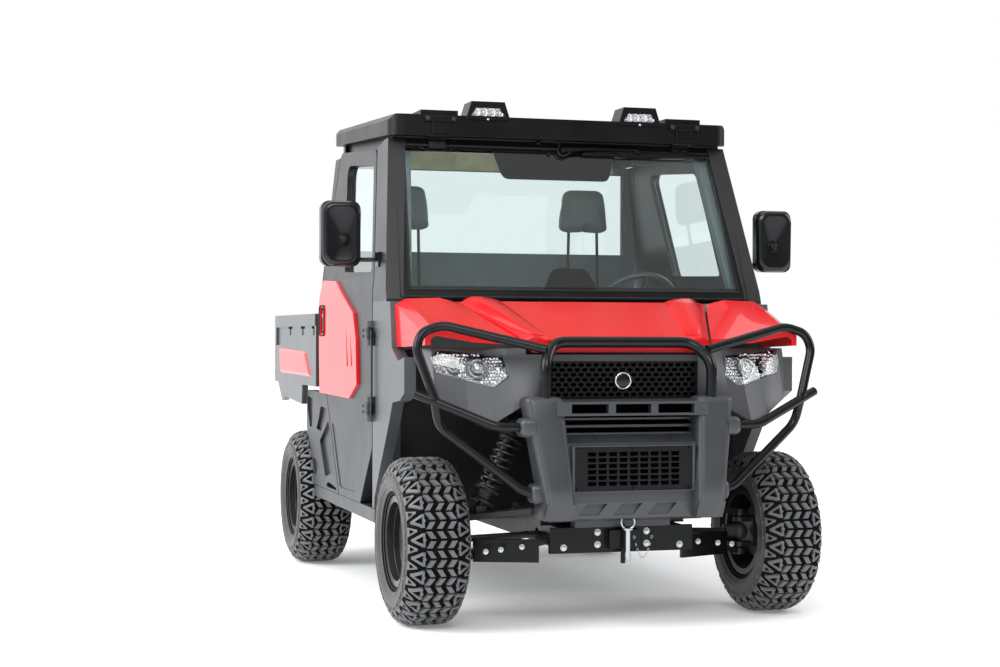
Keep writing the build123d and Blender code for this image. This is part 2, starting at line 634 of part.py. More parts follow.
with BuildPart() as knuckle_left:
    carrier(FRONT_WHEEL_X, FRONT_AXLE_Y)
keep(knuckle_left, "knuckle_left")
keep(mirrored(knuckle_left), "knuckle_right")

with BuildPart() as rear_carriers:
    carrier(REAR_WHEEL_X, REAR_AXLE_Y)
    mirror(about=Plane.YZ)
    fit(rear_arms)
keep(rear_carriers, "rear_carriers")

with BuildPart() as shocks:
    for axle, wheel_x, axle_y, width in AXLES:
        arm_share = (SHOCK_LOW_X - TOWER_OUT) / (wheel_x - KINGPIN_IN - TOWER_OUT)
        arm_z = UPPER_ARM_FRAME_Z + (UPPER_BALL_Z - UPPER_ARM_FRAME_Z) * arm_share
        top = Vector(SHOCK_TOP_X, axle_y, BED_RAIL_BOTTOM - SHOCK_TOP_DROP)
        low = Vector(SHOCK_LOW_X, axle_y, arm_z + SHOCK_LOW_RISE)
        rod(top, low, DAMPER_ROD_RADIUS)
        rod(top, top + (low - top) * DAMPER_SHARE, DAMPER_RADIUS)
        for seat_start, seat_end in SPRING_SEATS:
            rod(top + (low - top) * seat_start, top + (low - top) * seat_end, SPRING_SEAT_RADIUS)
        block(top.X - SHOCK_EYE_HALF, top.X + SHOCK_EYE_HALF, axle_y - SHOCK_EYE_WIDTH / 2,
              axle_y + SHOCK_EYE_WIDTH / 2,
              top.Z - SHOCK_EYE_HALF, BED_RAIL_BOTTOM - TOWER_BRACKET)
        block(low.X - SHOCK_EYE_HALF, low.X + SHOCK_EYE_HALF, axle_y - SHOCK_FOOT_WIDTH / 2,
              axle_y + SHOCK_FOOT_WIDTH / 2, arm_z - SHOCK_FOOT_DROP, low.Z + SHOCK_EYE_HALF / 2)
    mirror(about=Plane.YZ)
    fit(front_arms, rear_arms)
keep(shocks, "shocks")

# ================================================================ engine and drive line
ENGINE_HALF = 230.0
ENGINE_Y = (520.0, 1060.0)
ENGINE_Z = (400.0, 780.0)
ENGINE_FOOT_HALF = 150.0
CASE_HALF_X = 130.0
CASE_HALF_Y = 60.0
FRONT_CASE_Z = (290.0, 440.0)
CASE_EAR = 20.0
TRANSFER_HALF = 60.0
TRANSFER_Z = 310.0
member_top = RAIL_TOP - MEMBER_INSET
engine_seats = (MEMBERS_Y[5], MEMBERS_Y[6])
with BuildPart() as powertrain:
    block(-ENGINE_HALF, ENGINE_HALF, ENGINE_Y[0], ENGINE_Y[1], ENGINE_Z[0], ENGINE_Z[1])
    block(-ENGINE_FOOT_HALF, ENGINE_FOOT_HALF, engine_seats[0], engine_seats[1] + MEMBER, member_top,
          ENGINE_Z[0])
    block(-CASE_HALF_X, CASE_HALF_X, REAR_AXLE_Y - CASE_HALF_Y, REAR_AXLE_Y + CASE_HALF_Y, TRANSFER_Z,
          ENGINE_Z[0])
    block(-CASE_HALF_X, CASE_HALF_X, FRONT_AXLE_Y - CASE_HALF_Y, FRONT_AXLE_Y + CASE_HALF_Y,
          FRONT_CASE_Z[0], FRONT_CASE_Z[1])
    block(-RAIL_IN, RAIL_IN, FRONT_AXLE_Y - CASE_HALF_Y + CASE_EAR, FRONT_AXLE_Y - CASE_HALF_Y + 2 * CASE_EAR,
          SHAFT_Z - CASE_EAR, SHAFT_Z + CASE_EAR)
    block(-TRANSFER_HALF, TRANSFER_HALF, engine_seats[0] + MEMBER + CLEAR, REAR_AXLE_Y, TRANSFER_Z,
          ENGINE_Z[0])
    rod((0, FRONT_AXLE_Y, SHAFT_Z), (0, REAR_AXLE_Y, SHAFT_Z), PROP_RADIUS)
    for side in (-1, 1):
        for axle, wheel_x, axle_y, width in AXLES:
            frame_end = Vector(side * CASE_HALF_X, axle_y, SHAFT_FRAME_Z)
            wheel_end = Vector(side * (wheel_x - KINGPIN_IN), axle_y, TYRE_RADIUS)
            along = (wheel_end - frame_end).normalized()
            rod(frame_end - along * CLEAR, wheel_end, SHAFT_RADIUS)
            rod(wheel_end - along * SHAFT_BOOT_LENGTH, wheel_end, SHAFT_BOOT_RADIUS - CLEAR)
            with Locations(wheel_end):
                Sphere(SHAFT_BOOT_RADIUS)
    fit(frame_towers)
keep(powertrain, "powertrain")

# ================================================================ cab floor, firewall, dash and cowl
with BuildPart() as floor_pan:
    block(-FLOOR_HALF, FLOOR_HALF, FIREWALL_Y, CAB_REAR, FLOOR_BOTTOM, FLOOR_TOP)
    block(-FLOOR_HALF, FLOOR_HALF, FIREWALL_Y - FIREWALL, FIREWALL_Y, FLOOR_BOTTOM, FIREWALL_TOP)
keep(floor_pan, "floor_pan")

# the dash's outline from the scuttle back to its lower lip and forward again underneath: y, z
DASH = [(-895, 1228), (-770, 1240), (-640, 1190), (-470, 1175), (-425, 1130), (-440, 1040), (-470, 1030),
        (-470, 1090), (-640, 1100), (-640, 1040), (-660, 1040), (-660, 1150), (-760, 1195), (-895, 1195)]
COLUMN_BOX = (150.0, 120.0, 90.0)
COLUMN_BOX_PLACE = (-470.0, 1085.0)
hub = Vector(*WHEEL_CENTRE)
column_down = Vector(0, -cos(radians(COLUMN_TILT)), -sin(radians(COLUMN_TILT)))
with BuildPart() as dash:
    slab(DASH, -COWL_HALF, COWL_HALF)
    with Locations((WHEEL_CENTRE[0], *COLUMN_BOX_PLACE)):
        Box(*COLUMN_BOX)
    rod(hub + column_down * COLUMN_RADIUS, hub + column_down * COLUMN_LENGTH, COLUMN_RADIUS,
        mode=Mode.SUBTRACT)
    fit(floor_pan)
with BuildPart() as steering_column:
    rod(hub + column_down * STEERING_HUB_RADIUS, hub + column_down * COLUMN_LENGTH, COLUMN_RADIUS)
    rod(hub + column_down * COLUMN_RADIUS, hub + column_down * COLUMN_LENGTH,
        STEERING_SHAFT_RADIUS + RUNNING_GAP,
        mode=Mode.SUBTRACT)
with BuildPart() as bonnet_hinges:
    for side in (-1, 1):
        low, high = BONNET_HINGE_X
        rod((side * (low - BONNET_EAR_GAP - BONNET_EAR), BONNET_PIVOT_Y, BONNET_PIVOT_Z),
            (side * (high + BONNET_EAR_GAP + BONNET_EAR), BONNET_PIVOT_Y, BONNET_PIVOT_Z), BONNET_PIN_RADIUS)
        for x0 in (low - BONNET_EAR_GAP - BONNET_EAR, high + BONNET_EAR_GAP):
            block(side * x0, side * (x0 + BONNET_EAR), BONNET_PIVOT_Y - BONNET_EAR / 2,
                  DASH[0][0] + BONNET_EAR,
                  BONNET_PIVOT_Z - BONNET_EAR / 2, BONNET_PIVOT_Z + BONNET_EAR / 2)
    fit(dash)
with BuildPart() as cowl:
    add(dash.part)
    add(steering_column.part)
    add(bonnet_hinges.part)
keep(cowl, "cowl")

with BuildPart() as steering_wheel:
    reach = STEERING_RADIUS - STEERING_RIM
    face = Plane(origin=hub, x_dir=(1, 0, 0), z_dir=(0, -column_down.Z, column_down.Y))
    with BuildSketch(face) as rim_section:
        with Locations((reach, 0)):
            Circle(STEERING_RIM)
    revolve(rim_section.sketch, axis=Axis(hub, -column_down))
    rod(hub + column_down * 2 * STEERING_RIM, hub - column_down * SPOKE_RADIUS, STEERING_HUB_RADIUS)
    spoke_plane = hub + column_down * SPOKE_RADIUS
    rod(spoke_plane - Vector(reach, 0, 0), spoke_plane + Vector(reach, 0, 0), SPOKE_RADIUS)
    rod(spoke_plane, spoke_plane + Vector(0, column_down.Z, -column_down.Y) * reach, SPOKE_RADIUS)
    rod(hub + column_down * STEERING_RIM, hub + column_down * (COLUMN_LENGTH - 4 * SPOKE_RADIUS),
        STEERING_SHAFT_RADIUS)
keep(steering_wheel, "steering_wheel")

# ================================================================ windscreen
screen_slope = Vector(0, SCREEN_HEAD[1] - SCREEN_FOOT[1], SCREEN_HEAD[2] - SCREEN_FOOT[2])
screen_plane = Plane(origin=(0, SCREEN_FOOT[1], SCREEN_FOOT[2]), x_dir=(1, 0, 0),
                     z_dir=(0, -screen_slope.Z, screen_slope.Y))
SCREEN_LENGTH = screen_slope.length


def screen_sheet(border, low, front, back, mode=Mode.ADD):
    """A trapezoid in the windscreen's slope, between two depths behind its outer face."""
    low_half, high_half = SCREEN_FOOT[0] - border, SCREEN_HEAD[0] - border
    sheet = [(-low_half, low), (low_half, low), (high_half, SCREEN_LENGTH - border),
             (-high_half, SCREEN_LENGTH - border)]
    extrude(outline(screen_plane.offset(-front), sheet), amount=front - back, mode=mode)


with BuildPart() as windscreen_frame:
    screen_sheet(0, -SCREEN_SKIRT, 0, SCREEN_DEPTH)
    screen_sheet(SCREEN_BORDER, SCREEN_BORDER_LOW, -CLEAR, SCREEN_DEPTH + CLEAR, mode=Mode.SUBTRACT)
    fit(dash)
keep(windscreen_frame, "windscreen_frame")

with BuildPart() as cab_glass:
    screen_sheet(SCREEN_BORDER, SCREEN_BORDER_LOW, SCREEN_GLASS_IN, SCREEN_GLASS_IN + GLASS)
    block(-WINDOW_REAR_HALF, WINDOW_REAR_HALF, CAB_REAR - REAR_WALL / 2, CAB_REAR - REAR_WALL / 2 + GLASS,
          WINDOW_REAR_Z[0], WINDOW_REAR_Z[1])
keep(cab_glass, "cab_glass")

# ================================================================ cab posts, rails and roof
HEAD_RAIL_IN = HEAD_RAIL_OUT - HEAD_RAIL_WIDTH
# foot x, foot y, foot z, head x, head y, head z of each post on one side
POSTS = (
    (712.0, -668.0, FLOOR_TOP, 712.0, -668.0, 1230.0),
    (712.0, -854.0, 1195.0, 650.0, -575.0, 1850.0),
    (706.0, 420.0, FLOOR_TOP, 706.0, 420.0, BREAK_Z),
    (706.0, 420.0, BREAK_Z, 692.0, 420.0, 1900.0))
with BuildPart() as cab_posts:
    for foot_x, foot_y, foot_z, head_x, head_y, head_z in POSTS:
        blend_z(square(foot_x, foot_y, POST_WIDTH, POST_DEPTH), foot_z,
                square(head_x, head_y, POST_WIDTH, POST_DEPTH), head_z)
    mirror(about=Plane.YZ)
    fit(floor_pan, dash, windscreen_frame)
keep(cab_posts, "cab_posts")


def rail_side(y0, y1):
    """Side profile of a roof rail that follows the eaves."""
    return [(y, eaves(y) + rise) for y, rise in (
        (y0, -HEAD_RAIL_DROP), (y1, -HEAD_RAIL_DROP), (y1, HEAD_RAIL_RISE), (y0, HEAD_RAIL_RISE))]


POST_REAR = POSTS[2][1] + POST_DEPTH / 2
POST_FRONT = POSTS[2][1] - POST_DEPTH / 2
with BuildPart() as roof_rails:
    for side in (-1, 1):
        slab(rail_side(HEAD_FRONT, POST_FRONT), side * HEAD_RAIL_IN, side * HEAD_RAIL_OUT)
    slab(rail_side(HEAD_FRONT, HEAD_FRONT + HEAD_RAIL_WIDTH), -HEAD_RAIL_OUT, HEAD_RAIL_OUT)
    slab(rail_side(POST_FRONT, POST_REAR), -POSTS[3][3], POSTS[3][3])
    fit(windscreen_frame, cab_posts)
keep(roof_rails, "roof_rails")

with BuildPart() as headliner:
    slab([(HEAD_FRONT + HEAD_RAIL_WIDTH, eaves(HEAD_FRONT + HEAD_RAIL_WIDTH)),
          (POST_FRONT, eaves(POST_FRONT)),
          (POST_FRONT, eaves(POST_FRONT) + HEADLINER),
          (HEAD_FRONT + HEAD_RAIL_WIDTH, eaves(HEAD_FRONT + HEAD_RAIL_WIDTH) + HEADLINER)],
         -HEAD_RAIL_IN, HEAD_RAIL_IN)
keep(headliner, "headliner")


def roof_section(half, bottom, height, edge):
    """Front profile of the roof: upright sides and a sloping edge round the top."""
    top = bottom + height
    return [(-half, bottom), (half, bottom), (half, top - edge), (half - edge, top), (edge - half, top),
            (-half, top - edge)]


with BuildPart() as roof_plan:
    plate([(-ROOF_HALF, ROOF_FRONT, ROOF_CORNER), (ROOF_HALF, ROOF_FRONT, ROOF_CORNER),
           (ROOF_HALF, ROOF_REAR, ROOF_CORNER), (-ROOF_HALF, ROOF_REAR, ROOF_CORNER)],
          EAVES_FRONT_Z - ROOF_EDGE, EAVES_REAR_Z + ROOF_REAR_HEIGHT + ROOF_EDGE)
with BuildPart() as roof:
    blend_y(roof_section(ROOF_HALF, EAVES_REAR_Z, ROOF_REAR_HEIGHT, ROOF_EDGE), ROOF_REAR,
            roof_section(ROOF_HALF, EAVES_FRONT_Z, ROOF_FRONT_HEIGHT, ROOF_EDGE), ROOF_FRONT)
    cavity_half = ROOF_HALF - ROOF_BEAM
    blend_y(roof_section(cavity_half, EAVES_REAR_Z - CLEAR, ROOF_REAR_HEIGHT - ROOF_SKIN, ROOF_EDGE),
            ROOF_REAR - ROOF_BEAM,
            roof_section(cavity_half, EAVES_FRONT_Z - CLEAR, ROOF_FRONT_HEIGHT - ROOF_SKIN, ROOF_EDGE),
            ROOF_FRONT + ROOF_BEAM + HEAD_RAIL_WIDTH, mode=Mode.SUBTRACT)
    add(roof_plan.part, mode=Mode.INTERSECT)
    for side in (-1, 1):
        block(side * ROOF_PAD_X[0], side * ROOF_PAD_X[1], *ROOF_PAD_Y,
              EAVES_FRONT_Z + ROOF_FRONT_HEIGHT - ROOF_SKIN / 2,
              EAVES_FRONT_Z + ROOF_FRONT_HEIGHT + ROOF_PAD_HEIGHT)
    fit(roof_rails, windscreen_frame, headliner)
keep(roof, "roof")

lamp_in, lamp_out = LAMP_X
lamp_face = ROOF_FRONT - LAMP_PROUD
roof_front_top = EAVES_FRONT_Z + ROOF_FRONT_HEIGHT
lamp_bottom = roof_front_top - LAMP_SINK
lamp_top = lamp_bottom + LAMP_HEIGHT
POD = [(lamp_in, lamp_bottom), (lamp_out, lamp_bottom), (lamp_out - ROOF_EDGE, lamp_top),
       (lamp_in + ROOF_EDGE, lamp_top)]
LENS = [(lamp_in + LENS_BORDER, lamp_bottom + LENS_RISE), (lamp_out - LENS_BORDER, lamp_bottom + LENS_RISE),
        (lamp_out - ROOF_EDGE - LENS_BORDER, lamp_top - LENS_TOP), (lamp_in + ROOF_EDGE + LENS_BORDER,
                                                                    lamp_top - LENS_TOP)]
with BuildPart() as roof_lamps:
    for side in (-1, 1):
        panel([(side * x, z) for x, z in POD], lamp_face, lamp_face + LAMP_DEPTH)
        panel([(side * x, z) for x, z in LENS], lamp_face, lamp_face + LENS_POCKET, mode=Mode.SUBTRACT)
    block(-lamp_out, lamp_out, ROOF_FRONT + ROOF_EDGE, ROOF_FRONT + 2 * LAMP_DEPTH,
          lamp_bottom, roof_front_top - CLEAR, mode=Mode.SUBTRACT)
    fit(roof)
keep(roof_lamps, "roof_lamps")

with BuildPart() as roof_lamp_lenses:
    for side in (-1, 1):
        panel([(side * x, z) for x, z in LENS], lamp_face + LENS_IN, lamp_face + LENS_POCKET)
    fit(roof)
keep(roof_lamp_lenses, "roof_lamp_lenses")

with BuildPart() as rear_wall:
    wall_half = POSTS[2][0] - POST_WIDTH / 2
    block(-wall_half, wall_half, CAB_REAR - REAR_WALL, CAB_REAR, FLOOR_TOP, eaves(CAB_REAR) - HEAD_RAIL_DROP)
    block(-WINDOW_REAR_HALF, WINDOW_REAR_HALF, CAB_REAR - REAR_WALL, CAB_REAR, WINDOW_REAR_Z[0],
          WINDOW_REAR_Z[1],
          mode=Mode.SUBTRACT)
    fit(cab_posts, roof_rails)
keep(rear_wall, "rear_wall")

# ================================================================ seats
with BuildPart() as seat_box:
    block(-SEAT_BOX_HALF, SEAT_BOX_HALF, *SEAT_BOX_Y, FLOOR_TOP, SEAT_BOX_TOP)
    block(-SEAT_BOX_HALF + SEAT_BOX_WALL, SEAT_BOX_HALF - SEAT_BOX_WALL, SEAT_BOX_Y[0] + SEAT_BOX_WALL,
          SEAT_BOX_Y[1] - SEAT_BOX_WALL, FLOOR_TOP, SEAT_BOX_TOP - SEAT_BOX_WALL, mode=Mode.SUBTRACT)
keep(seat_box, "seat_box")

# a seat's side from the front of the cushion over the back: y, z
SEAT_SIDE = [(-150, SEAT_BOX_TOP), (-150, 735), (-120, 765), (235, 745), (270, 1180), (300, SEAT_BACK_TOP),
             (345, SEAT_BACK_TOP), (365, 1160), (330, SEAT_BOX_TOP)]
with BuildPart() as seats:
    for low, high in SEAT_X:
        slab(SEAT_SIDE, low, high)
keep(seats, "seats")

with BuildPart() as headrests:
    for side in (-1, 1):
        x0, x1 = side * HEADREST_X - HEADREST_HALF, side * HEADREST_X + HEADREST_HALF
        panel([(x0, HEADREST_BOTTOM, HEADREST_CORNER), (x1, HEADREST_BOTTOM, HEADREST_CORNER),
               (x1, HEADREST_TOP, HEADREST_CORNER), (x0, HEADREST_TOP, HEADREST_CORNER)], *HEADREST_Y)
        for post in (-1, 1):
            x = side * HEADREST_X + post * HEADREST_POST_X
            middle = sum(HEADREST_Y) / 2
            rod((x, middle, SEAT_BACK_TOP), (x, middle, HEADREST_BOTTOM), HEADREST_POST_RADIUS)
keep(headrests, "headrests")

# ================================================================ doors
SILL_Z = FLOOR_BOTTOM + CLEAR    # top of the sill trim
SILL_SEAM = 2.0
DOOR_BOTTOM = SILL_Z + SILL_SEAM
DOOR_EDGE = 10.0                 # the door's front edge behind its hinge line
DOOR_FRONT = HINGE_Y + DOOR_EDGE
DOOR_HEEL = 14.0                 # rear end of the door's lower edge
# outline of the door's leaf: y, z, corner radius
DOOR = [(DOOR_FRONT, 1330), (DOOR_FRONT, 640), (-416, DOOR_BOTTOM), (DOOR_HEEL, DOOR_BOTTOM), (290, 825),
        (425, 1130),
        (425, 1340), (302, 1922, 40), (-448, 1866, 60)]
DOOR_WINDOW = [(-596, 1354, 20), (-50, 1370, 30), (130, 1848, 40), (-420, 1808, 50)]
# the coloured panel
DOOR_PANEL = [(398, 835), (-250, 829), (-404, 893), (-385, 1076), (-330, 1190), (60, 1335), (350, 1345),
              (414, 1250),
              (414, 1020)]
HANDLE = [(290, 1104, 14), (385, 1104, 14), (385, 1222, 14), (290, 1222, 14)]
# shallow creases in the coloured panel, and the sunk lower part of the door: y, z
TRIM_CREASES = ([(-193, 1141), (-208, 966), (-236, 966)], [(-278, 1111), (-294, 967), (-322, 967)])
DOOR_DIP = [(178, 708), (-368, 618), (-333, 473), (-300, 438), (-40, 434), (4, 442)]
CREASE_DEPTH = 4.0
door_leaf = side_wall(DOOR, DOOR_THICKNESS)
with BuildPart() as door_left:
    add(door_leaf.part)
    slab(DOOR_WINDOW, SIDE_TOP_X - 3 * DOOR_THICKNESS, SIDE_X + DOOR_THICKNESS, mode=Mode.SUBTRACT)
    slab(DOOR_DIP, SIDE_X - CREASE_DEPTH, SIDE_X, mode=Mode.SUBTRACT)
    for z in HINGE_HEIGHTS:
        with Locations((HINGE_X, HINGE_Y, z)):
            Cylinder(HINGE_BARREL_RADIUS, 2 * HINGE_SLEEVE_HALF)
        block(SIDE_X, HINGE_X, HINGE_Y, HINGE_Y + HINGE_LEAF, z - HINGE_SLEEVE_HALF, z + HINGE_SLEEVE_HALF)
        block(SIDE_X, HINGE_X + HINGE_PIN_RADIUS, HINGE_Y + HINGE_BARREL_RADIUS, HINGE_Y + 2 * HINGE_LEAF,
              z - HINGE_SLEEVE_HALF, z + HINGE_SLEEVE_HALF)
        with Locations((HINGE_X, HINGE_Y, z)):
            Cylinder(HINGE_PIN_RADIUS + RUNNING_GAP, 3 * HINGE_SLEEVE_HALF, mode=Mode.SUBTRACT)
keep(door_left, "door_left")
keep(mirrored(door_left), "door_right")

door_glass_left = side_wall(DOOR_WINDOW, GLASS, DOOR_GLASS_IN)
keep(door_glass_left, "door_glass_left")
keep(mirrored(door_glass_left), "door_glass_right")

panel_face = side_wall(DOOR_PANEL, DOOR_TRIM, -DOOR_TRIM)
with BuildPart() as door_trim_left:
    add(panel_face.part)
    slab(HANDLE, SIDE_X, SIDE_X + 2 * DOOR_TRIM, mode=Mode.SUBTRACT)
    for crease in TRIM_CREASES:
        slab(crease, SIDE_X + DOOR_TRIM - CREASE_DEPTH, SIDE_X + DOOR_TRIM, mode=Mode.SUBTRACT)
keep(door_trim_left, "door_trim_left")
keep(mirrored(door_trim_left), "door_trim_right")

# ================================================================ fixed side panels
PILLAR_SEAM = 12.0
PILLAR_Y = DOOR_FRONT - PILLAR_SEAM      # rear edge of the panel ahead of the door
# edge of the panel behind the front wheel, from the sill up round the arch: y, z
FRONT_SIDE = [(PILLAR_Y, DOOR_BOTTOM), (PILLAR_Y, 1228), (-955, 1228), (-985, 1050), (-1090, 1000),
              (-1190, 1015),
              (-1190, 880), (-1120, 850), (-1000, 838), (-950, 768), (-779, 562), (-690, 447), (-684,
                                                                                                DOOR_BOTTOM)]
CORNER = [(PILLAR_Y, 1228), (PILLAR_Y, 1332), (-462, 1872), (-590, 1896), (-640, 1896), (-893, 1240),
          (-893, 1228)]
HINGE_POST_Y = -700.0
HINGE_POST_X = (730.0, 770.0)
HINGE_POST_TOP = 1190.0
CORNER_THICKNESS = 72.0
lower_panel = side_wall(FRONT_SIDE, DOOR_THICKNESS)
corner_wall = side_wall(CORNER, CORNER_THICKNESS)
with BuildPart() as side_front_left:
    add(lower_panel.part)
    for z in HINGE_HEIGHTS:
        for low in (z - HINGE_SLEEVE_HALF - HINGE_EAR_GAP - HINGE_EAR, z + HINGE_SLEEVE_HALF + HINGE_EAR_GAP):
            block(SIDE_X, HINGE_X, HINGE_Y - HINGE_LEAF / 2, HINGE_Y - HINGE_PIN_RADIUS, low, low + HINGE_EAR)
            with Locations((HINGE_X, HINGE_Y, low + HINGE_EAR / 2)):
                Cylinder(HINGE_BARREL_RADIUS, HINGE_EAR)
        with Locations((HINGE_X, HINGE_Y, z)):
            Cylinder(HINGE_PIN_RADIUS, 2 * (HINGE_SLEEVE_HALF + HINGE_EAR_GAP + HINGE_EAR))
    block(*HINGE_POST_X, HINGE_POST_Y, FIREWALL_Y - FIREWALL, DOOR_BOTTOM, HINGE_POST_TOP)
    fit(floor_pan, cab_posts, dash)
with BuildPart() as corner_left:
    add(corner_wall.part)
    fit(cab_posts, dash, windscreen_frame, cab_glass, roof, roof_rails)
with BuildPart() as front_sides:
    add(side_front_left.part)
    add(corner_left.part)
    mirror(about=Plane.YZ)
keep(front_sides, "front_sides")

QUARTER_SEAM = 14.0
QUARTER_TOP = 836.0
# edge of the panel behind the door, round the rear wheel and up the cab's corner: y, z
QUARTER = [(DOOR_HEEL + QUARTER_SEAM, DOOR_BOTTOM), (590, DOOR_BOTTOM), (614, 470), (676, 560), (750, 622),
           (784, 664), (784, QUARTER_TOP), (CAB_REAR, QUARTER_TOP), (CAB_REAR, 1340), (418, 1900), (316,
                                                                                                    1900),
           (433, 1345), (433, 1128), (299, 822)]
# depth of each hollow in its face, and its outline: y, z
HOLLOWS = (
    (14.0, [(768, 809), (642, 800), (641, 730), (654, 668), (704, 664), (761, 744)]),
    (14.0, [(540, 664), (481, 720), (438, 772), (285, 763), (298, 726), (436, 656)]),
    (16.0, [(461, 613), (262, 712), (248, 698), (200, 632), (112, 492), (330, 456)]),
    (10.0, [(632, 528), (480, 506), (560, 442), (586, 452)]),
    (30.0, [(300, 424), (256, 437), (84, 425), (72, 413), (288, 413)]))
quarter_wall = side_wall(QUARTER, DOOR_THICKNESS)
with BuildPart() as quarter_left:
    add(quarter_wall.part)
    for depth, edge in HOLLOWS:
        slab(edge, SIDE_X - depth, SIDE_X, mode=Mode.SUBTRACT)
    fit(cab_posts, rear_wall, floor_pan, roof_rails)
keep(both_sides(quarter_left), "quarter_panels")

# sill trim: y, z
SILL = [(-684, SILL_RAIL_BOTTOM), (-700, SILL_Z), (588, SILL_Z), (588, 350)]
with BuildPart() as sill_left:
    slab(SILL, SILL_RAIL_OUT, SIDE_X)
    fit(side_front_left, quarter_left)
keep(both_sides(sill_left), "sills")

# ================================================================ mirrors
MIRROR = (939.0, 1501.0)         # centre of the shell: x, z
MIRROR_Y = (-706.0, -668.0)
MIRROR_SIZE = (160.0, 262.0)
MIRROR_CORNER = 34.0
MIRROR_BALL = (925.0, -664.0, 1470.0)
MIRROR_BALL_RADIUS = 26.0
MIRROR_ARM_RADIUS = 9.0
MIRROR_ELBOW = (880.0, -660.0, 1400.0)
MIRROR_ROOT = (765.0, -700.0, 1400.0)
MIRROR_FOOT = 30.0
with BuildPart() as mirror_left:
    half_width, half_height = MIRROR_SIZE[0] / 2, MIRROR_SIZE[1] / 2
    panel([(MIRROR[0] - half_width, MIRROR[1] - half_height, MIRROR_CORNER),
           (MIRROR[0] + half_width, MIRROR[1] - half_height, MIRROR_CORNER),
           (MIRROR[0] + half_width, MIRROR[1] + half_height, MIRROR_CORNER),
           (MIRROR[0] - half_width, MIRROR[1] + half_height, MIRROR_CORNER)], *MIRROR_Y)
    with Locations(MIRROR_BALL):
        Sphere(MIRROR_BALL_RADIUS)
    tube([MIRROR_BALL, MIRROR_ELBOW, MIRROR_ROOT], MIRROR_ARM_RADIUS)
    block(MIRROR_ROOT[0], side_x(MIRROR_ROOT[2]) + MIRROR_ARM_RADIUS, MIRROR_ROOT[1] - MIRROR_FOOT,
          MIRROR_ROOT[1] + MIRROR_FOOT, MIRROR_ROOT[2] - MIRROR_FOOT, MIRROR_ROOT[2] + MIRROR_FOOT)
    fit(corner_left, windscreen_frame, cab_posts)
keep(both_sides(mirror_left), "mirrors")

# ================================================================ bonnet and fenders
# crown of the bonnet from the middle out to its edge: rear x, rear height, front x, front height
BONNET_CROWN = (
    (360.0, 1232.0, 300.0, 1082.0),
    (449.0, 1244.0, 340.0, 1092.0),
    (517.0, 1226.0, 365.0, 1082.0))
half_rear = [(x, z) for x, z, _, _ in BONNET_CROWN] + [(BONNET_CROWN[2][0], BONNET_PIVOT_Z)]
half_front = [(x, z) for _, _, x,
              z in BONNET_CROWN] + [(BONNET_CROWN[2][2], BONNET_CROWN[2][3] - BONNET_SKIN)]
with BuildPart() as bonnet:
    blend_y(half_rear + [(-x, z) for x, z in reversed(half_rear)], BONNET_REAR,
            half_front + [(-x, z) for x, z in reversed(half_front)], BONNET_FRONT)
    block(-BONNET_LIP_HALF, BONNET_LIP_HALF, BONNET_FRONT, BONNET_FRONT + BONNET_LIP, BONNET_LIP_Z,
          BONNET_CROWN[0][3])
    ear_in, ear_out = BONNET_HINGE_X
    for side in (-1, 1):
        block(side * ear_in, side * ear_out, BONNET_REAR - BONNET_EAR, BONNET_REAR + BONNET_EAR / 2,
              BONNET_PIVOT_Z - BONNET_EAR / 2, BONNET_PIVOT_Z + BONNET_EAR / 2)
        rod((side * ear_in, BONNET_PIVOT_Y, BONNET_PIVOT_Z), (side * ear_out, BONNET_PIVOT_Y, BONNET_PIVOT_Z),
            2 * BONNET_PIN_RADIUS)
        block(side * ear_in, side * ear_out, BONNET_REAR, BONNET_PIVOT_Y,
              BONNET_PIVOT_Z - BONNET_EAR / 2, BONNET_PIVOT_Z + BONNET_EAR / 2)
        rod((side * (ear_in - BONNET_EAR), BONNET_PIVOT_Y, BONNET_PIVOT_Z),
            (side * (ear_out + BONNET_EAR), BONNET_PIVOT_Y, BONNET_PIVOT_Z),
            BONNET_PIN_RADIUS + RUNNING_GAP, mode=Mode.SUBTRACT)
keep(bonnet, "bonnet")

# fender skin, over its top and back under it: rear x, rear z, front x, front z
FENDER = (
    (523.0, 1226.0, 388.0, 1084.0),
    (600.0, 1244.0, 560.0, 1092.0),
    (734.0, 1240.0, 716.0, 1118.0),
    (778.0, 1216.0, 750.0, 1100.0),
    (778.0, 1050.0, 750.0, 1060.0),
    (756.0, 1050.0, 728.0, 1060.0),
    (756.0, 1200.0, 728.0, 1084.0),
    (727.0, 1216.0, 708.0, 1096.0),
    (600.0, 1222.0, 560.0, 1070.0),
    (523.0, 1204.0, 388.0, 1062.0))
FENDER_CUT = [(-1180, 900), (-1093, 1004), (-990, 1052), (-900, 1052), (-900, 900)]
with BuildPart() as fender_left:
    blend_y([(x, z) for x, z, _, _ in FENDER], FENDER_REAR, [(x, z) for _, _, x, z in FENDER], FENDER_FRONT)
    slab(FENDER_CUT, HEAD_RAIL_OUT, SIDE_X, mode=Mode.SUBTRACT)
    fit(side_front_left)
keep(both_sides(fender_left), "fenders")

# ================================================================ nose
# plan of the nose at its foot and at its top: foot x, foot y, top x, top y
NOSE = (
    (0.0, -1420.0, 0.0, -1396.0),
    (303.0, -1420.0, 303.0, -1392.0),
    (434.0, -1432.0, 434.0, -1312.0),
    (513.0, -1424.0, 513.0, -1290.0),
    (596.0, -1394.0, 596.0, -1268.0),
    (705.0, -1334.0, 705.0, -1240.0),
    (745.0, -1290.0, 745.0, -1200.0))
# lower edge of the nose seen from the front: x, z
NOSE_EDGE = [(0, 862), (300, 862), (408, 830), (513, 772), (596, 793), (705, 854), (725, 920), (748, 985)]
HEADLAMP = [(711, 1016), (684, 1042), (452, 1021), (434, 944), (491, 903), (693, 958)]


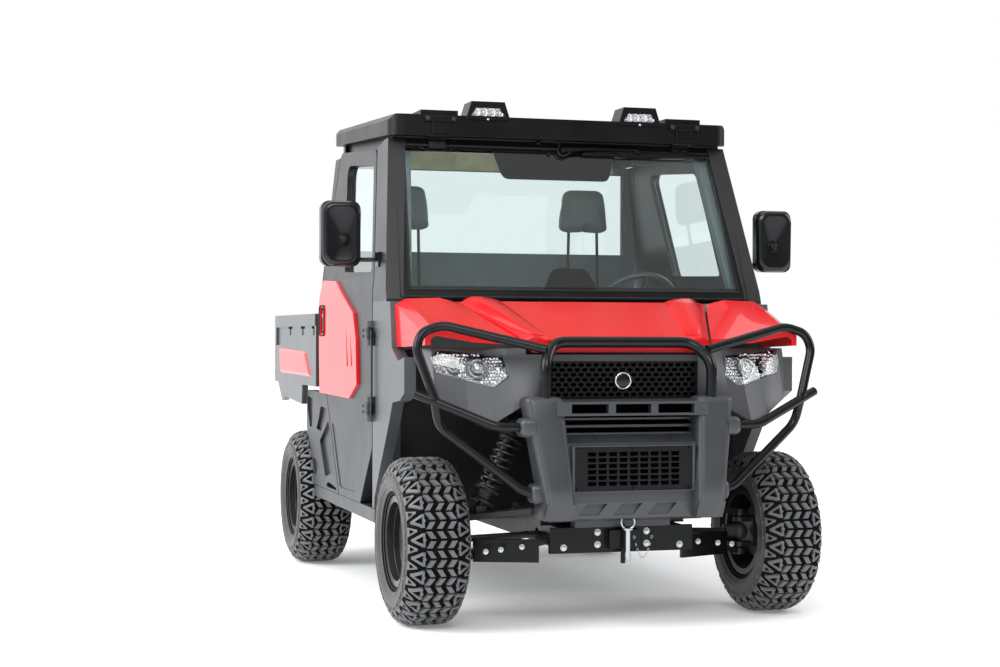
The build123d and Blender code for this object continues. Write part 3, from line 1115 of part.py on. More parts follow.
def nose_plan(column, inset):
    """Plan of the nose at its foot (column 0) or top (column 2), from the front face to the back face."""
    front = [(row[column], row[column + 1] + inset) for row in NOSE]
    back = [(max(row[column] - inset / 2, 0.0), row[column + 1] + MASK_DEPTH) for row in NOSE]
    return front + back[::-1]


with BuildPart() as nose_half:
    blend_z(nose_plan(0, 0.0), MASK_LOW, nose_plan(2, 0.0), MASK_TOP)
with BuildPart() as nose_edge:
    panel(NOSE_EDGE + [(NOSE_EDGE[-1][0], MASK_TOP), (NOSE_EDGE[0][0], MASK_TOP)], 2 * FRONT_AXLE_Y, 0)
with BuildPart() as nose_wall:
    add(nose_half.part)
    add(nose_edge.part, mode=Mode.INTERSECT)
with BuildPart() as front_mask:
    add(nose_wall.part)
    mirror(about=Plane.YZ)
    for side in (-1, 1):
        panel([(side * x, z) for x, z in HEADLAMP], 2 * FRONT_AXLE_Y, 0, mode=Mode.SUBTRACT)
    block(-GRILLE_HALF, GRILLE_HALF, 2 * FRONT_AXLE_Y, GRILLE_RECESS + GRILLE_PLATE, *GRILLE_Z,
          mode=Mode.SUBTRACT)
    # room for the bonnet's lip
    block(-BONNET_CROWN[2][2] - CLEAR, BONNET_CROWN[2][2] + CLEAR, 2 * FRONT_AXLE_Y, 0,
          BONNET_LIP_Z - PANEL_GAP, MASK_TOP, mode=Mode.SUBTRACT)
keep(front_mask, "front_mask")

LAMP_LENS = 4.0                  # thickness of the lens, front to back
LAMP_HOUSING = 24.0              # housing behind the nose's face
LAMP_AIR = 3.0                   # between the lens and the reflectors' rims
REFLECTOR_WALL = 4.0
# centre x, centre z and radius of each reflector, radius of the bulb in it
REFLECTORS = ((544.0, 975.0, 38.0, 20.0), (628.0, 981.0, 24.0, 10.0))


def behind_nose(inset):
    """The room behind a face that is set back from the nose's own."""
    plans = []
    for column in (0, 2):
        face = [(row[column], row[column + 1] + inset) for row in NOSE]
        plans.append(face + [(NOSE[-1][column], 0.0), (NOSE[0][column], 0.0)])
    with BuildPart() as room:
        blend_z(plans[0], MASK_LOW, plans[1], MASK_TOP)
    return room


with BuildPart() as lamp_room:
    add(nose_half.part)
    panel(HEADLAMP, 2 * FRONT_AXLE_Y, 0, mode=Mode.INTERSECT)
with BuildPart() as reflectors:
    for x, z, radius, bulb in REFLECTORS:
        rod((x, 2 * FRONT_AXLE_Y, z), (x, 0, z), radius)
        rod((x, 2 * FRONT_AXLE_Y, z), (x, 0, z), radius - REFLECTOR_WALL, mode=Mode.SUBTRACT)
        rod((x, 2 * FRONT_AXLE_Y, z), (x, 0, z), bulb)
    add(behind_nose(LAMP_LENS + LAMP_AIR).part, mode=Mode.INTERSECT)
with BuildPart() as headlamp_left:
    add(behind_nose(LAMP_HOUSING).part)
    add(reflectors.part)
    add(lamp_room.part, mode=Mode.INTERSECT)
keep(both_sides(headlamp_left), "headlamps")

with BuildPart() as headlamp_lens_left:
    add(lamp_room.part)
    fit(behind_nose(LAMP_LENS))
keep(both_sides(headlamp_lens_left), "headlamp_lenses")

# ================================================================ bumper and grilles
BUMPER_HALF = 300.0
BUMPER_FACE = -1500.0
# y, z
BUMPER_SIDE = [(BUMPER_FACE, 480), (BUMPER_FACE, 700), (-1440, 730), (-1440, BUMPER_TOP),
               (BUMPER_BACK, BUMPER_TOP),
               (BUMPER_BACK, 430), (-1430, 406), (-1480, 420)]
BUMPER_FOOT = [(-1562, 481), (-1530, 420), (BUMPER_BACK, 420), (BUMPER_BACK, 520), (BUMPER_FACE, 520)]
BUMPER_FOOT_X = (243.0, 349.0)
# plan centre, width and depth, height of a post's foot and head
BUMPER_POST = ((296.0, -1492.0, 106.0, 140.0, 481.0), (338.0, -1442.0, 142.0, 100.0, 867.0))
LOOP_SOCKET = (385.0, 424.0, -1510.0, -1425.0, 735.0, 785.0)
LOW_SOCKET = (345.0, 380.0, -1505.0, -1430.0, 490.0, 545.0)
PLATE_FRAME = 10.0               # border of the lower grille's plate
PLATE_RIM = 4.5                  # its border above and below
PLATE_PROUD = 4.0
PLATE_SINK = 5.0
POST_ROUND = 14.0                # rounded edges of the bumper's posts
BAR_FACE = -1512.0               # slotted bar between the posts
BAR_Z = (802.0, 854.0)
SLOT_X = ((-242.0, -98.0), (-70.0, 70.0), (98.0, 242.0))
SLOT_MARGIN = 9.0
SLOT_DEPTH = 30.0
LOUVRE_HALF = 258.0
LOUVRE_Z = (736.0, 802.0)
LOUVRE_BACK = -1412.0
SLATS_Z = ((756.0, 766.0), (784.0, 792.0))
# sunk facets under the lower grille: outline x, z, and the middle of each
FACET = [(-40, 476), (40, 476), (10, 434), (-70, 434)]
FACETS_X = (-138.0, 0.0, 138.0)
FACET_DEPTH = 9.0
LINK_Z = (380.0, 460.0)
with BuildPart() as bumper_post:
    (foot_x, foot_y, foot_w, foot_d, foot_z), (head_x, head_y, head_w, head_d, head_z) = BUMPER_POST
    blend_z(square(foot_x, foot_y, foot_w, foot_d), foot_z, square(head_x, head_y, head_w, head_d), head_z)
    fillet(bumper_post.edges().filter_by(lambda edge: edge.center().Z > foot_z + POST_ROUND), POST_ROUND)
with BuildPart() as bumper:
    slab(BUMPER_SIDE, -BUMPER_HALF, BUMPER_HALF)
    block(-LOUVRE_HALF, LOUVRE_HALF, BUMPER_FACE, LOUVRE_BACK, *LOUVRE_Z, mode=Mode.SUBTRACT)
    block(-BUMPER_HALF, BUMPER_HALF, BAR_FACE, LOUVRE_BACK, *BAR_Z)
    for low, high in SLOT_X:
        block(low, high, BAR_FACE, BAR_FACE + SLOT_DEPTH, BAR_Z[0] + SLOT_MARGIN, BAR_Z[1] - SLOT_MARGIN,
              mode=Mode.SUBTRACT)
    for low, high in SLATS_Z:
        block(-LOUVRE_HALF, LOUVRE_HALF, LOUVRE_BACK - SLOT_DEPTH, LOUVRE_BACK, low, high)
    for x in FACETS_X:
        panel([(x + u, z) for u, z in FACET], BUMPER_FACE, BUMPER_FACE + 2 * FACET_DEPTH, mode=Mode.SUBTRACT)
    for side in (-1, 1):
        add(bumper_post.part if side > 0 else mirror(bumper_post.part, about=Plane.YZ))
        slab(BUMPER_FOOT, side * BUMPER_FOOT_X[0], side * BUMPER_FOOT_X[1])
        for x0, x1, y0, y1, z0, z1 in (LOOP_SOCKET, LOW_SOCKET):
            block(side * x0, side * x1, y0, y1, z0, z1)
    block(-LOWER_GRILLE_HALF - PLATE_FRAME, LOWER_GRILLE_HALF + PLATE_FRAME, LOWER_GRILLE_Y - PLATE_PROUD,
          BUMPER_FACE + PLATE_SINK, LOWER_GRILLE_Z[0] - PLATE_RIM, LOWER_GRILLE_Z[1] + PLATE_RIM)
    # arms back to the frame rails
    block(-RAIL_IN, RAIL_IN, BUMPER_BACK, FRAME_FRONT, *LINK_Z)
    block(-RAIL_IN, RAIL_IN, FRAME_FRONT - PLATE_FRAME, FRAME_FRONT, RAIL_BOTTOM, LINK_Z[0])
    block(-LOWER_GRILLE_HALF, LOWER_GRILLE_HALF, LOWER_GRILLE_Y - 2 * PLATE_PROUD,
          LOWER_GRILLE_Y + GRILLE_PLATE,
          *LOWER_GRILLE_Z, mode=Mode.SUBTRACT)
    fit(front_mask)
keep(bumper, "bumper")

# honeycomb: pitch across and up, half widths of a cell at its points and at its flats, half height
COMB_PITCH = (30.0, 18.6)
COMB_POINT = 12.5
COMB_FLAT = 7.5
COMB_HALF_HEIGHT = 7.0
COMB_COLUMNS = 20
COMB_ROWS = 7
BADGE_RADIUS = 36.0              # plain round boss in the middle of the honeycomb
BADGE_PROUD = 6.0
BADGE_Z = 928.0
# lower grille: pitch across and up, half widths of a hole at its top and foot, half height
HOLE_PITCH = (41.0, 21.8)
HOLE_TOP_HALF = 17.5
HOLE_FOOT_HALF = 14.5
HOLE_HALF_HEIGHT = 7.6
HOLE_COLUMNS = 9
HOLE_ROWS = 6


def pattern(cell, pitch, columns, rows, middle_z, staggered):
    """Outlines of a cell repeated in rows, with every second row staggered and one cell shorter if asked."""
    cells = []
    for row in range(rows):
        count = columns - (row % 2 if staggered else 0)
        z = middle_z + (row - (rows - 1) / 2) * pitch[1]
        for column in range(count):
            x = (column - (count - 1) / 2) * pitch[0]
            cells.append([(x + u, z + v) for u, v in cell])
    return cells


def pierced(half, heights, front, cells):
    """An upright plate with holes."""
    with BuildSketch(Plane.XZ.offset(-front)) as face:
        with Locations((0, sum(heights) / 2)):
            Rectangle(2 * half, heights[1] - heights[0])
        for cell in cells:
            with BuildLine():
                Polyline(*cell, close=True)
            make_face(mode=Mode.SUBTRACT)
    extrude(face.sketch, amount=-GRILLE_PLATE)


comb_cell = [(-COMB_POINT, 0), (-COMB_FLAT, COMB_HALF_HEIGHT), (COMB_FLAT, COMB_HALF_HEIGHT), (COMB_POINT, 0),
             (COMB_FLAT, -COMB_HALF_HEIGHT), (-COMB_FLAT, -COMB_HALF_HEIGHT)]
hole_cell = [(-HOLE_TOP_HALF, HOLE_HALF_HEIGHT), (HOLE_TOP_HALF, HOLE_HALF_HEIGHT),
             (HOLE_FOOT_HALF, -HOLE_HALF_HEIGHT), (-HOLE_FOOT_HALF, -HOLE_HALF_HEIGHT)]
comb = pattern(comb_cell, COMB_PITCH, COMB_COLUMNS, COMB_ROWS, sum(GRILLE_Z) / 2, True)
holes = pattern(hole_cell, HOLE_PITCH, HOLE_COLUMNS, HOLE_ROWS, sum(LOWER_GRILLE_Z) / 2, False)
with BuildPart() as grilles:
    pierced(LOWER_GRILLE_HALF, LOWER_GRILLE_Z, LOWER_GRILLE_Y, holes)
    pierced(GRILLE_HALF, GRILLE_Z, GRILLE_RECESS, comb)
    rod((0, GRILLE_RECESS - BADGE_PROUD, BADGE_Z), (0, GRILLE_RECESS + GRILLE_PLATE, BADGE_Z), BADGE_RADIUS)
keep(grilles, "grilles")

# ================================================================ bull bar and front hitch
HOOP = [(328, -1470, 866), (330, -1470, 1000), (280, -1404, 1073), (-280, -1404, 1073), (-330, -1470, 1000),
        (-328, -1470, 866)]
SIDE_LOOP = [(320, -1450, 1045), (690, -1346, 1135), (772, -1354, 1108), (794, -1364, 1050),
             (733, -1402, 866),
             (712, -1387, 762), (392, -1480, 516), (370, -1480, 516)]
SIDE_BRACE = [(420, -1470, 760), (520, -1480, 763), (801, -1375, 884)]
with BuildPart() as bull_bar:
    tube(HOOP, HOOP_RADIUS)
    for side in (-1, 1):
        for path in (SIDE_LOOP, SIDE_BRACE):
            tube([(side * x, y, z) for x, y, z in path], LOOP_RADIUS)
    fit(bumper)
keep(bull_bar, "bull_bar")

HITCH_PLATE_HALF = 285.0
HITCH_PLATE_Y = -1390.0
HITCH_PLATE_BOTTOM = 284.0
TONGUE_HALF = 60.0
TONGUE_Y = -1420.0
TONGUE_Z = (300.0, 370.0)
TOW_PIN_Y = -1400.0
TOW_PIN_Z = (243.0, 390.0)
TOW_PIN_RADIUS = 9.0
ARM_GUARD = [(290, -1272), (520, -1183), (520, -1163), (290, -1252)]
ARM_GUARD_Z = (238.0, 325.0)
with BuildPart() as front_hitch:
    block(-HITCH_PLATE_HALF, HITCH_PLATE_HALF, HITCH_PLATE_Y, FRAME_FRONT, HITCH_PLATE_BOTTOM, LINK_Z[0])
    block(-TONGUE_HALF, TONGUE_HALF, TONGUE_Y, HITCH_PLATE_Y, *TONGUE_Z)
    rod((0, TOW_PIN_Y, TOW_PIN_Z[0]), (0, TOW_PIN_Y, TOW_PIN_Z[1]), TOW_PIN_RADIUS)
    for side in (-1, 1):
        plate([(side * x, y) for x, y in ARM_GUARD], *ARM_GUARD_Z)
    fit(bumper, front_arms)
keep(front_hitch, "front_hitch")

# ================================================================ bed and tailgate
# fender flap under the bed's side, and the coloured panel on it: y, z
BED_FLAP = [(800, BED_BOTTOM), (816, 768), (1276, 790), (1330, 768), (1362, 768), (1480, BED_BOTTOM)]
BED_PANEL = [(573, 903), (716, 1020), (1425, 1032), (1398, 908)]
BED_PANEL_SLOPE = 62.0           # degrees that its edges lean in
# notches under the side's cap: middle of each, and the outline of one from its middle: y, z
STAKES_Y = (510.0, 790.0, 1125.0)
STAKE = [(-56, 1139), (56, 1139), (56, 1127), (16, 1127), (16, 1096), (-16, 1096), (-16, 1127), (-56, 1127)]
STAKE_DEPTH = 14.0
BED_CAP_LIP = 5.0                # cap's overhang outside the bed's side
END_HOLLOW = [(1196, 1136), (1540, 1136), (1540, 1044), (1430, 1048), (1330, 1070), (1196, 1112)]
END_HOLLOW_DEPTH = 10.0
BED_EAR_HALF = 30.0
BED_EAR_TIP = 16.0
BED_EAR_DROP = 18.0
EAR_SIDE = [(BED_PIVOT_Y - BED_EAR_HALF, BED_BOTTOM),
            (BED_PIVOT_Y - BED_EAR_TIP, BED_PIVOT_Z - BED_PIN_RADIUS),
            (BED_PIVOT_Y, BED_PIVOT_Z - BED_EAR_DROP), (BED_PIVOT_Y + BED_EAR_TIP,
                                                        BED_PIVOT_Z - BED_PIN_RADIUS),
            (BED_PIVOT_Y + BED_EAR_HALF, BED_BOTTOM)]
TAILGATE_END = 3.0
bed_inside = BED_HALF - BED_WALL
with BuildPart() as bed:
    block(-BED_HALF, BED_HALF, BED_FRONT, BED_REAR, BED_BOTTOM, BED_BOTTOM + BED_FLOOR)
    for side in (-1, 1):
        block(side * bed_inside, side * BED_HALF, BED_FRONT, BED_REAR, BED_BOTTOM, BED_TOP)
        slab(END_HOLLOW, side * (BED_HALF - END_HOLLOW_DEPTH), side * BED_HALF, mode=Mode.SUBTRACT)
        for y in STAKES_Y:
            slab([(y + v, z) for v, z in STAKE], side * (BED_HALF - STAKE_DEPTH), side * BED_HALF,
                 mode=Mode.SUBTRACT)
        block(side * (BED_HALF - BED_CAP), side * (BED_HALF + BED_CAP_LIP), BED_FRONT, BED_CAP_REAR,
              BED_TOP - BED_CAP_HEIGHT, BED_TOP)
        slab(BED_FLAP, side * (BED_HALF - BED_SKIRT), side * BED_HALF)
        slab(EAR_SIDE, side * BED_EAR_IN, side * (BED_EAR_IN + BED_EAR))
        rod((side * BED_LUG_IN, BED_PIVOT_Y, BED_PIVOT_Z), (side * (BED_LUG_OUT + BED_LUG), BED_PIVOT_Y,
                                                            BED_PIVOT_Z),
            BED_PIN_RADIUS)
        rod((side * (bed_inside - TAILGATE_END), *TAILGATE_PIVOT),
            (side * (BED_HALF + TAILGATE_END), *TAILGATE_PIVOT),
            TAILGATE_PIN_RADIUS + RUNNING_GAP, mode=Mode.SUBTRACT)
    block(-BED_HALF, BED_HALF, BED_FRONT, BED_FRONT + BED_WALL, BED_BOTTOM, BED_TOP)
keep(bed, "bed")

with BuildPart() as bed_accents:
    for side in (-1, 1):
        extrude(outline(Plane.YZ.offset(side * BED_HALF), BED_PANEL), amount=side * BED_ACCENT,
                taper=BED_PANEL_SLOPE)
keep(bed_accents, "bed_accents")

with BuildPart() as tailgate:
    gate_half = bed_inside - TAILGATE_SIDE_GAP
    block(-gate_half, gate_half, TAILGATE_PIVOT[0] - TAILGATE_INSIDE, TAILGATE_PIVOT[0] + TAILGATE_OUTSIDE,
          BED_BOTTOM + BED_FLOOR + TAILGATE_FLOOR_GAP, BED_TOP - TAILGATE_SIDE_GAP)
    rod((-BED_HALF + TAILGATE_END, *TAILGATE_PIVOT), (BED_HALF - TAILGATE_END, *TAILGATE_PIVOT),
        TAILGATE_PIN_RADIUS)
keep(tailgate, "tailgate")

# ================================================================ rear end
with BuildPart() as rear_hitch:
    block(-HITCH_OUT, HITCH_OUT, *HITCH_Y, HITCH_Z - HITCH_OUT, HITCH_Z + HITCH_OUT)
    block(-HITCH_BACK_HALF, HITCH_BACK_HALF, HITCH_PLATE_IN, FRAME_REAR, RAIL_TOP - MEMBER_INSET,
          HITCH_BACK_TOP)
    inside = HITCH_OUT - HITCH_WALL
    block(-inside, inside, HITCH_Y[0], HITCH_Y[1], HITCH_Z - inside, HITCH_Z + inside, mode=Mode.SUBTRACT)
    rod((-2 * HITCH_OUT, HITCH_PIN_Y, HITCH_Z), (2 * HITCH_OUT, HITCH_PIN_Y, HITCH_Z), HITCH_PIN_RADIUS,
        mode=Mode.SUBTRACT)
keep(rear_hitch, "rear_hitch")

with BuildPart() as rear_guard:
    guard_rear = FRAME_REAR + GUARD_BAR_THICKNESS
    for side in (-1, 1):
        block(side * RAIL_IN, side * RAIL_OUT, FRAME_REAR, guard_rear, DRAWBAR_BOTTOM, DRAWBAR_TOP)
        block(side * REAR_LAMP_IN, side * GUARD_BAR_HALF, FRAME_REAR, FRAME_REAR + REAR_LAMP_DEPTH,
              GUARD_BAR_Z[1], REAR_LAMP_TOP)
    block(-GUARD_BAR_HALF, GUARD_BAR_HALF, FRAME_REAR, guard_rear, *GUARD_BAR_Z)
keep(rear_guard, "rear_guard")
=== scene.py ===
"""Looks of a closed-cab side-by-side utility vehicle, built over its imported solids.

The solids give every place and size.  The classes below add the tyre tread, coil springs, front guard, lamps,
seats, trim and fasteners, and dress each piece in a procedural finish.  Metres, +Z up, the front faces -Y.
"""
from __future__ import annotations

import json
import logging
import math
import random
from dataclasses import dataclass, field, replace
from enum import Enum
from typing import Sequence

import bmesh
import bpy
from mathutils import Matrix, Vector
from mathutils.bvhtree import BVHTree

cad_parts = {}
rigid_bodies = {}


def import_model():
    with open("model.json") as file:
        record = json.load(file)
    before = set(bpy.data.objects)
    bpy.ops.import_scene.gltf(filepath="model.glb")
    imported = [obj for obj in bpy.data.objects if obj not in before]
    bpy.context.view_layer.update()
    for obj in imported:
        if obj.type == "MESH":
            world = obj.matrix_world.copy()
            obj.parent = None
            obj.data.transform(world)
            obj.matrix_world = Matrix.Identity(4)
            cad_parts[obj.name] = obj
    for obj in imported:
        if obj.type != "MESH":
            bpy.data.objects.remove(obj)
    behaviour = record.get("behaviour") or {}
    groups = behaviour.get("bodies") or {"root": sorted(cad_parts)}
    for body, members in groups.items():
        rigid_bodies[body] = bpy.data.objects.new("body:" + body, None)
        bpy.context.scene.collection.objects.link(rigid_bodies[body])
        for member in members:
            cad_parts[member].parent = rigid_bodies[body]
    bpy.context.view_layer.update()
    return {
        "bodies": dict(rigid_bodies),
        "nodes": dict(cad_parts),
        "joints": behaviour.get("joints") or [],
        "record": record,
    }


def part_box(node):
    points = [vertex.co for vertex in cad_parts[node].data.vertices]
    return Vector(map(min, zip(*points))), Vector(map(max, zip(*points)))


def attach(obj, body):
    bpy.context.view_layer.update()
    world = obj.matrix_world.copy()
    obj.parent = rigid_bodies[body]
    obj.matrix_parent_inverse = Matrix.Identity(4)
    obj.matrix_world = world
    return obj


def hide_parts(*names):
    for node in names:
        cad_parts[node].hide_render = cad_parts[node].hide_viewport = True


LOG = logging.getLogger("utility_vehicle")
Point = tuple[float, float, float]
Colour = tuple[float, float, float]
Outline = Sequence[tuple[float, float]]
# place of each axle along the vehicle
AXLES = {"front": -1.120, "rear": 0.930}


class Side(Enum):
    """Which side of the vehicle a piece is on, as the sign of X."""

    LEFT = 1
    RIGHT = -1

    @property
    def word(self) -> str:
        """The side as it ends a node's name."""
        return self.name.lower()


class Finish(Enum):
    """The record's material slots."""

    RED_PAINT = "red_paint"
    MOULDED_GREY = "moulded_grey"
    FRAME_BLACK = "frame_black"
    ROOF_BLACK = "roof_black"
    STEEL_DARK = "steel_dark"
    RIM_BLACK = "rim_black"
    TYRE = "tyre"
    GLASS = "glass"
    LAMP_LENS = "lamp_lens"
    SEAT_VINYL = "seat_vinyl"
    MIRROR_SHELL = "mirror_shell"
    HEADLINER = "headliner_cloth"
    MACHINERY = "machinery"
    REFLECTOR = "reflector"


# ------------------------------------------------------------------ shader node groups
def add_node(tree: bpy.types.NodeTree, kind: str, values: dict[str | int, object] | None = None,
             **settings: object) -> bpy.types.Node:
    """Add a shader node.

    Args:
        tree: the nodes that it joins.
        kind: its type, without the word that all shader nodes start with.
        values: the values of its input sockets.
        **settings: its own settings.

    Returns:
        The node.
    """
    node = tree.nodes.new(f"ShaderNode{kind}")
    for label, setting in settings.items():
        setattr(node, label, setting)
    for socket, value in (values or {}).items():
        node.inputs[socket].default_value = value
    return node


def join(tree: bpy.types.NodeTree,
         *rows: tuple[bpy.types.Node, str, bpy.types.Node, str | int]) -> None:
    """Link nodes.

    Args:
        tree: the nodes' tree.
        *rows: source node, its output, target node and its input.
    """
    for source, output, target, socket in rows:
        tree.links.new(source.outputs[output], target.inputs[socket])


class NodeGroups:
    """Shared shader effects, each built once as a node group."""

    def __init__(self) -> None:
        """Start with no group built."""
        self._built: dict[str, bpy.types.NodeTree] = {}

    def _start(self, name: str, inputs: Sequence[tuple[str, str, object]], outputs: Sequence[tuple[str, str]]
               ) -> tuple[bpy.types.NodeTree, bpy.types.Node, bpy.types.Node]:
        """Make an empty group with named sockets.

        Args:
            name: the group's name.
            inputs: rows of socket name, kind of value and default value.
            outputs: rows of socket name and kind of value.

        Returns:
            The tree, its input node and its output node.
        """
        tree = bpy.data.node_groups.new(name, "ShaderNodeTree")
        for label, kind, default in inputs:
            socket = tree.interface.new_socket(label, in_out="INPUT", socket_type=f"NodeSocket{kind}")
            socket.default_value = default
        for label, kind in outputs:
            tree.interface.new_socket(label, in_out="OUTPUT", socket_type=f"NodeSocket{kind}")
        self._built[name] = tree
        return tree, tree.nodes.new("NodeGroupInput"), tree.nodes.new("NodeGroupOutput")

    def grain(self) -> bpy.types.NodeTree:
        """Height of a leathery or moulded grain: cells broken up by noise."""
        name = "moulded_grain"
        if name not in self._built:
            tree, enter, leave = self._start(
                name, [("Scale", "Float", 900.0), ("Roughening", "Float", 0.5)], [("Height", "Float")])
            place = add_node(tree, "TexCoord")
            cells = add_node(tree, "TexVoronoi", feature="SMOOTH_F1")
            noise = add_node(tree, "TexNoise", {"Detail": 4.0})
            mix = add_node(tree, "Mix")
            join(tree, (place, "Object", cells, "Vector"), (place, "Object", noise, "Vector"),
                 (enter, "Scale", cells, "Scale"), (enter, "Scale", noise, "Scale"),
                 (enter, "Roughening", mix, "Factor"), (cells, "Distance", mix, "A"),
                 (noise, "Fac", mix, "B"), (mix, "Result", leave, "Height"))
        return self._built[name]

    def edges(self) -> bpy.types.NodeTree:
        """Worn edges: a mask that is 1 on convex edges, broken up, and a normal that rounds them. On the tread,
        whose edge colour is light, the mask also paints highlights on the block edges.
        """
        name = "worn_edges"
        if name not in self._built:
            tree, enter, leave = self._start(
                name, [("Radius", "Float", 0.003), ("Break Up", "Float", 60.0)],
                [("Mask", "Float"), ("Normal", "Vector")])
            bevel = add_node(tree, "Bevel", samples=4)
            shape = add_node(tree, "NewGeometry")
            dot = add_node(tree, "VectorMath", operation="DOT_PRODUCT")
            ramp = add_node(tree, "MapRange", {"From Min": 0.995, "From Max": 0.90})
            place = add_node(tree, "TexCoord")
            noise = add_node(tree, "TexNoise", {"Detail": 5.0})
            times = add_node(tree, "Math", operation="MULTIPLY")
            join(tree, (enter, "Radius", bevel, "Radius"), (bevel, "Normal", dot, 0),
                 (shape, "Normal", dot, 1), (dot, "Value", ramp, "Value"),
                 (place, "Object", noise, "Vector"), (enter, "Break Up", noise, "Scale"),
                 (ramp, "Result", times, 0), (noise, "Fac", times, 1), (times, "Value", leave, "Mask"),
                 (bevel, "Normal", leave, "Normal"))
        return self._built[name]

    def patina(self) -> bpy.types.NodeTree:
        """Uneven colour and gloss: broad mottling, and dust that lies on faces turned up."""
        name = "patina"
        if name not in self._built:
            tree, enter, leave = self._start(
                name,
                [("Colour", "Color", (0.5, 0.5, 0.5, 1)), ("Variation", "Float", 0.1), ("Scale", "Float", 6.0),
                 ("Dust Colour", "Color", (0.3, 0.28, 0.25, 1)), ("Dust", "Float", 0.1),
                 ("Roughness", "Float", 0.5)],
                [("Colour", "Color"), ("Roughness", "Float")])
            place = add_node(tree, "TexCoord")
            shape = add_node(tree, "NewGeometry")
            split = add_node(tree, "SeparateXYZ")
            broad = add_node(tree, "TexNoise", {"Detail": 6.0})
            shade = add_node(tree, "MapRange", {"From Min": 0.3, "From Max": 0.7})
            low = add_node(tree, "Math", {0: 1.0}, operation="SUBTRACT")
            high = add_node(tree, "Math", {0: 1.0}, operation="ADD")
            scaled = add_node(tree, "VectorMath", operation="SCALE")
            up = add_node(tree, "MapRange", {"From Min": 0.1, "From Max": 1.0})
            settle = add_node(tree, "Math", operation="MULTIPLY")
            amount = add_node(tree, "Math", operation="MULTIPLY")
            dusty = add_node(tree, "Mix", data_type="RGBA")
            rough = add_node(tree, "Math", operation="MULTIPLY_ADD")
            join(tree, (place, "Object", broad, "Vector"), (enter, "Scale", broad, "Scale"),
                 (broad, "Fac", shade, "Value"), (enter, "Variation", low, 1), (enter, "Variation", high, 1),
                 (low, "Value", shade, "To Min"), (high, "Value", shade, "To Max"),
                 (enter, "Colour", scaled, 0), (shade, "Result", scaled, "Scale"),
                 (shape, "Normal", split, 0), (split, "Z", up, "Value"), (up, "Result", settle, 0),
                 (broad, "Fac", settle, 1), (settle, "Value", amount, 0), (enter, "Dust", amount, 1),
                 (amount, "Value", dusty, "Factor"), (scaled, "Vector", dusty, "A"),
                 (enter, "Dust Colour", dusty, "B"), (dusty, "Result", leave, "Colour"),
                 (shade, "Result", rough, 0), (enter, "Roughness", rough, 1), (amount, "Value", rough, 2),
                 (rough, "Value", leave, "Roughness"))
        return self._built[name]

    def weave(self) -> bpy.types.NodeTree:
        """Height of a plain weave, for cloth seen close."""
        name = "plain_weave"
        if name not in self._built:
            tree, enter, leave = self._start(name, [("Scale", "Float", 500.0)], [("Height", "Float")])
            place = add_node(tree, "TexCoord")
            waves = [add_node(tree, "TexWave", {"Distortion": 0.6}, bands_direction=way) for way in ("X", "Y")]
            top = add_node(tree, "Math", operation="MAXIMUM")
            for socket, wave in enumerate(waves):
                join(tree, (place, "Object", wave, "Vector"), (enter, "Scale", wave, "Scale"),
                     (wave, "Fac", top, socket))
            join(tree, (top, "Value", leave, "Height"))
        return self._built[name]


def new_material(name: str, values: dict[str, object]) -> tuple[bpy.types.Material, bpy.types.Node]:
    """Make a node material.

    Args:
        name: the material's name.
        values: the values of its shader's sockets.

    Returns:
        The material and its Principled shader.
    """
    material = bpy.data.materials.new(name)
    material.use_nodes = True
    shader = next(n for n in material.node_tree.nodes if n.type == "BSDF_PRINCIPLED")
    for socket, value in values.items():
        shader.inputs[socket].default_value = value
    return material, shader


def use_group(material: bpy.types.Material, tree: bpy.types.NodeTree, **values: object) -> bpy.types.Node:
    """Place a shared group in a material.

    Args:
        material: the material that uses the group.
        tree: the group.
        **values: socket values, with spaces in the sockets' names as underscores.

    Returns:
        The group's node.
    """
    return add_node(material.node_tree, "Group", {k.replace("_", " "): v for k, v in values.items()},
                    node_tree=tree)


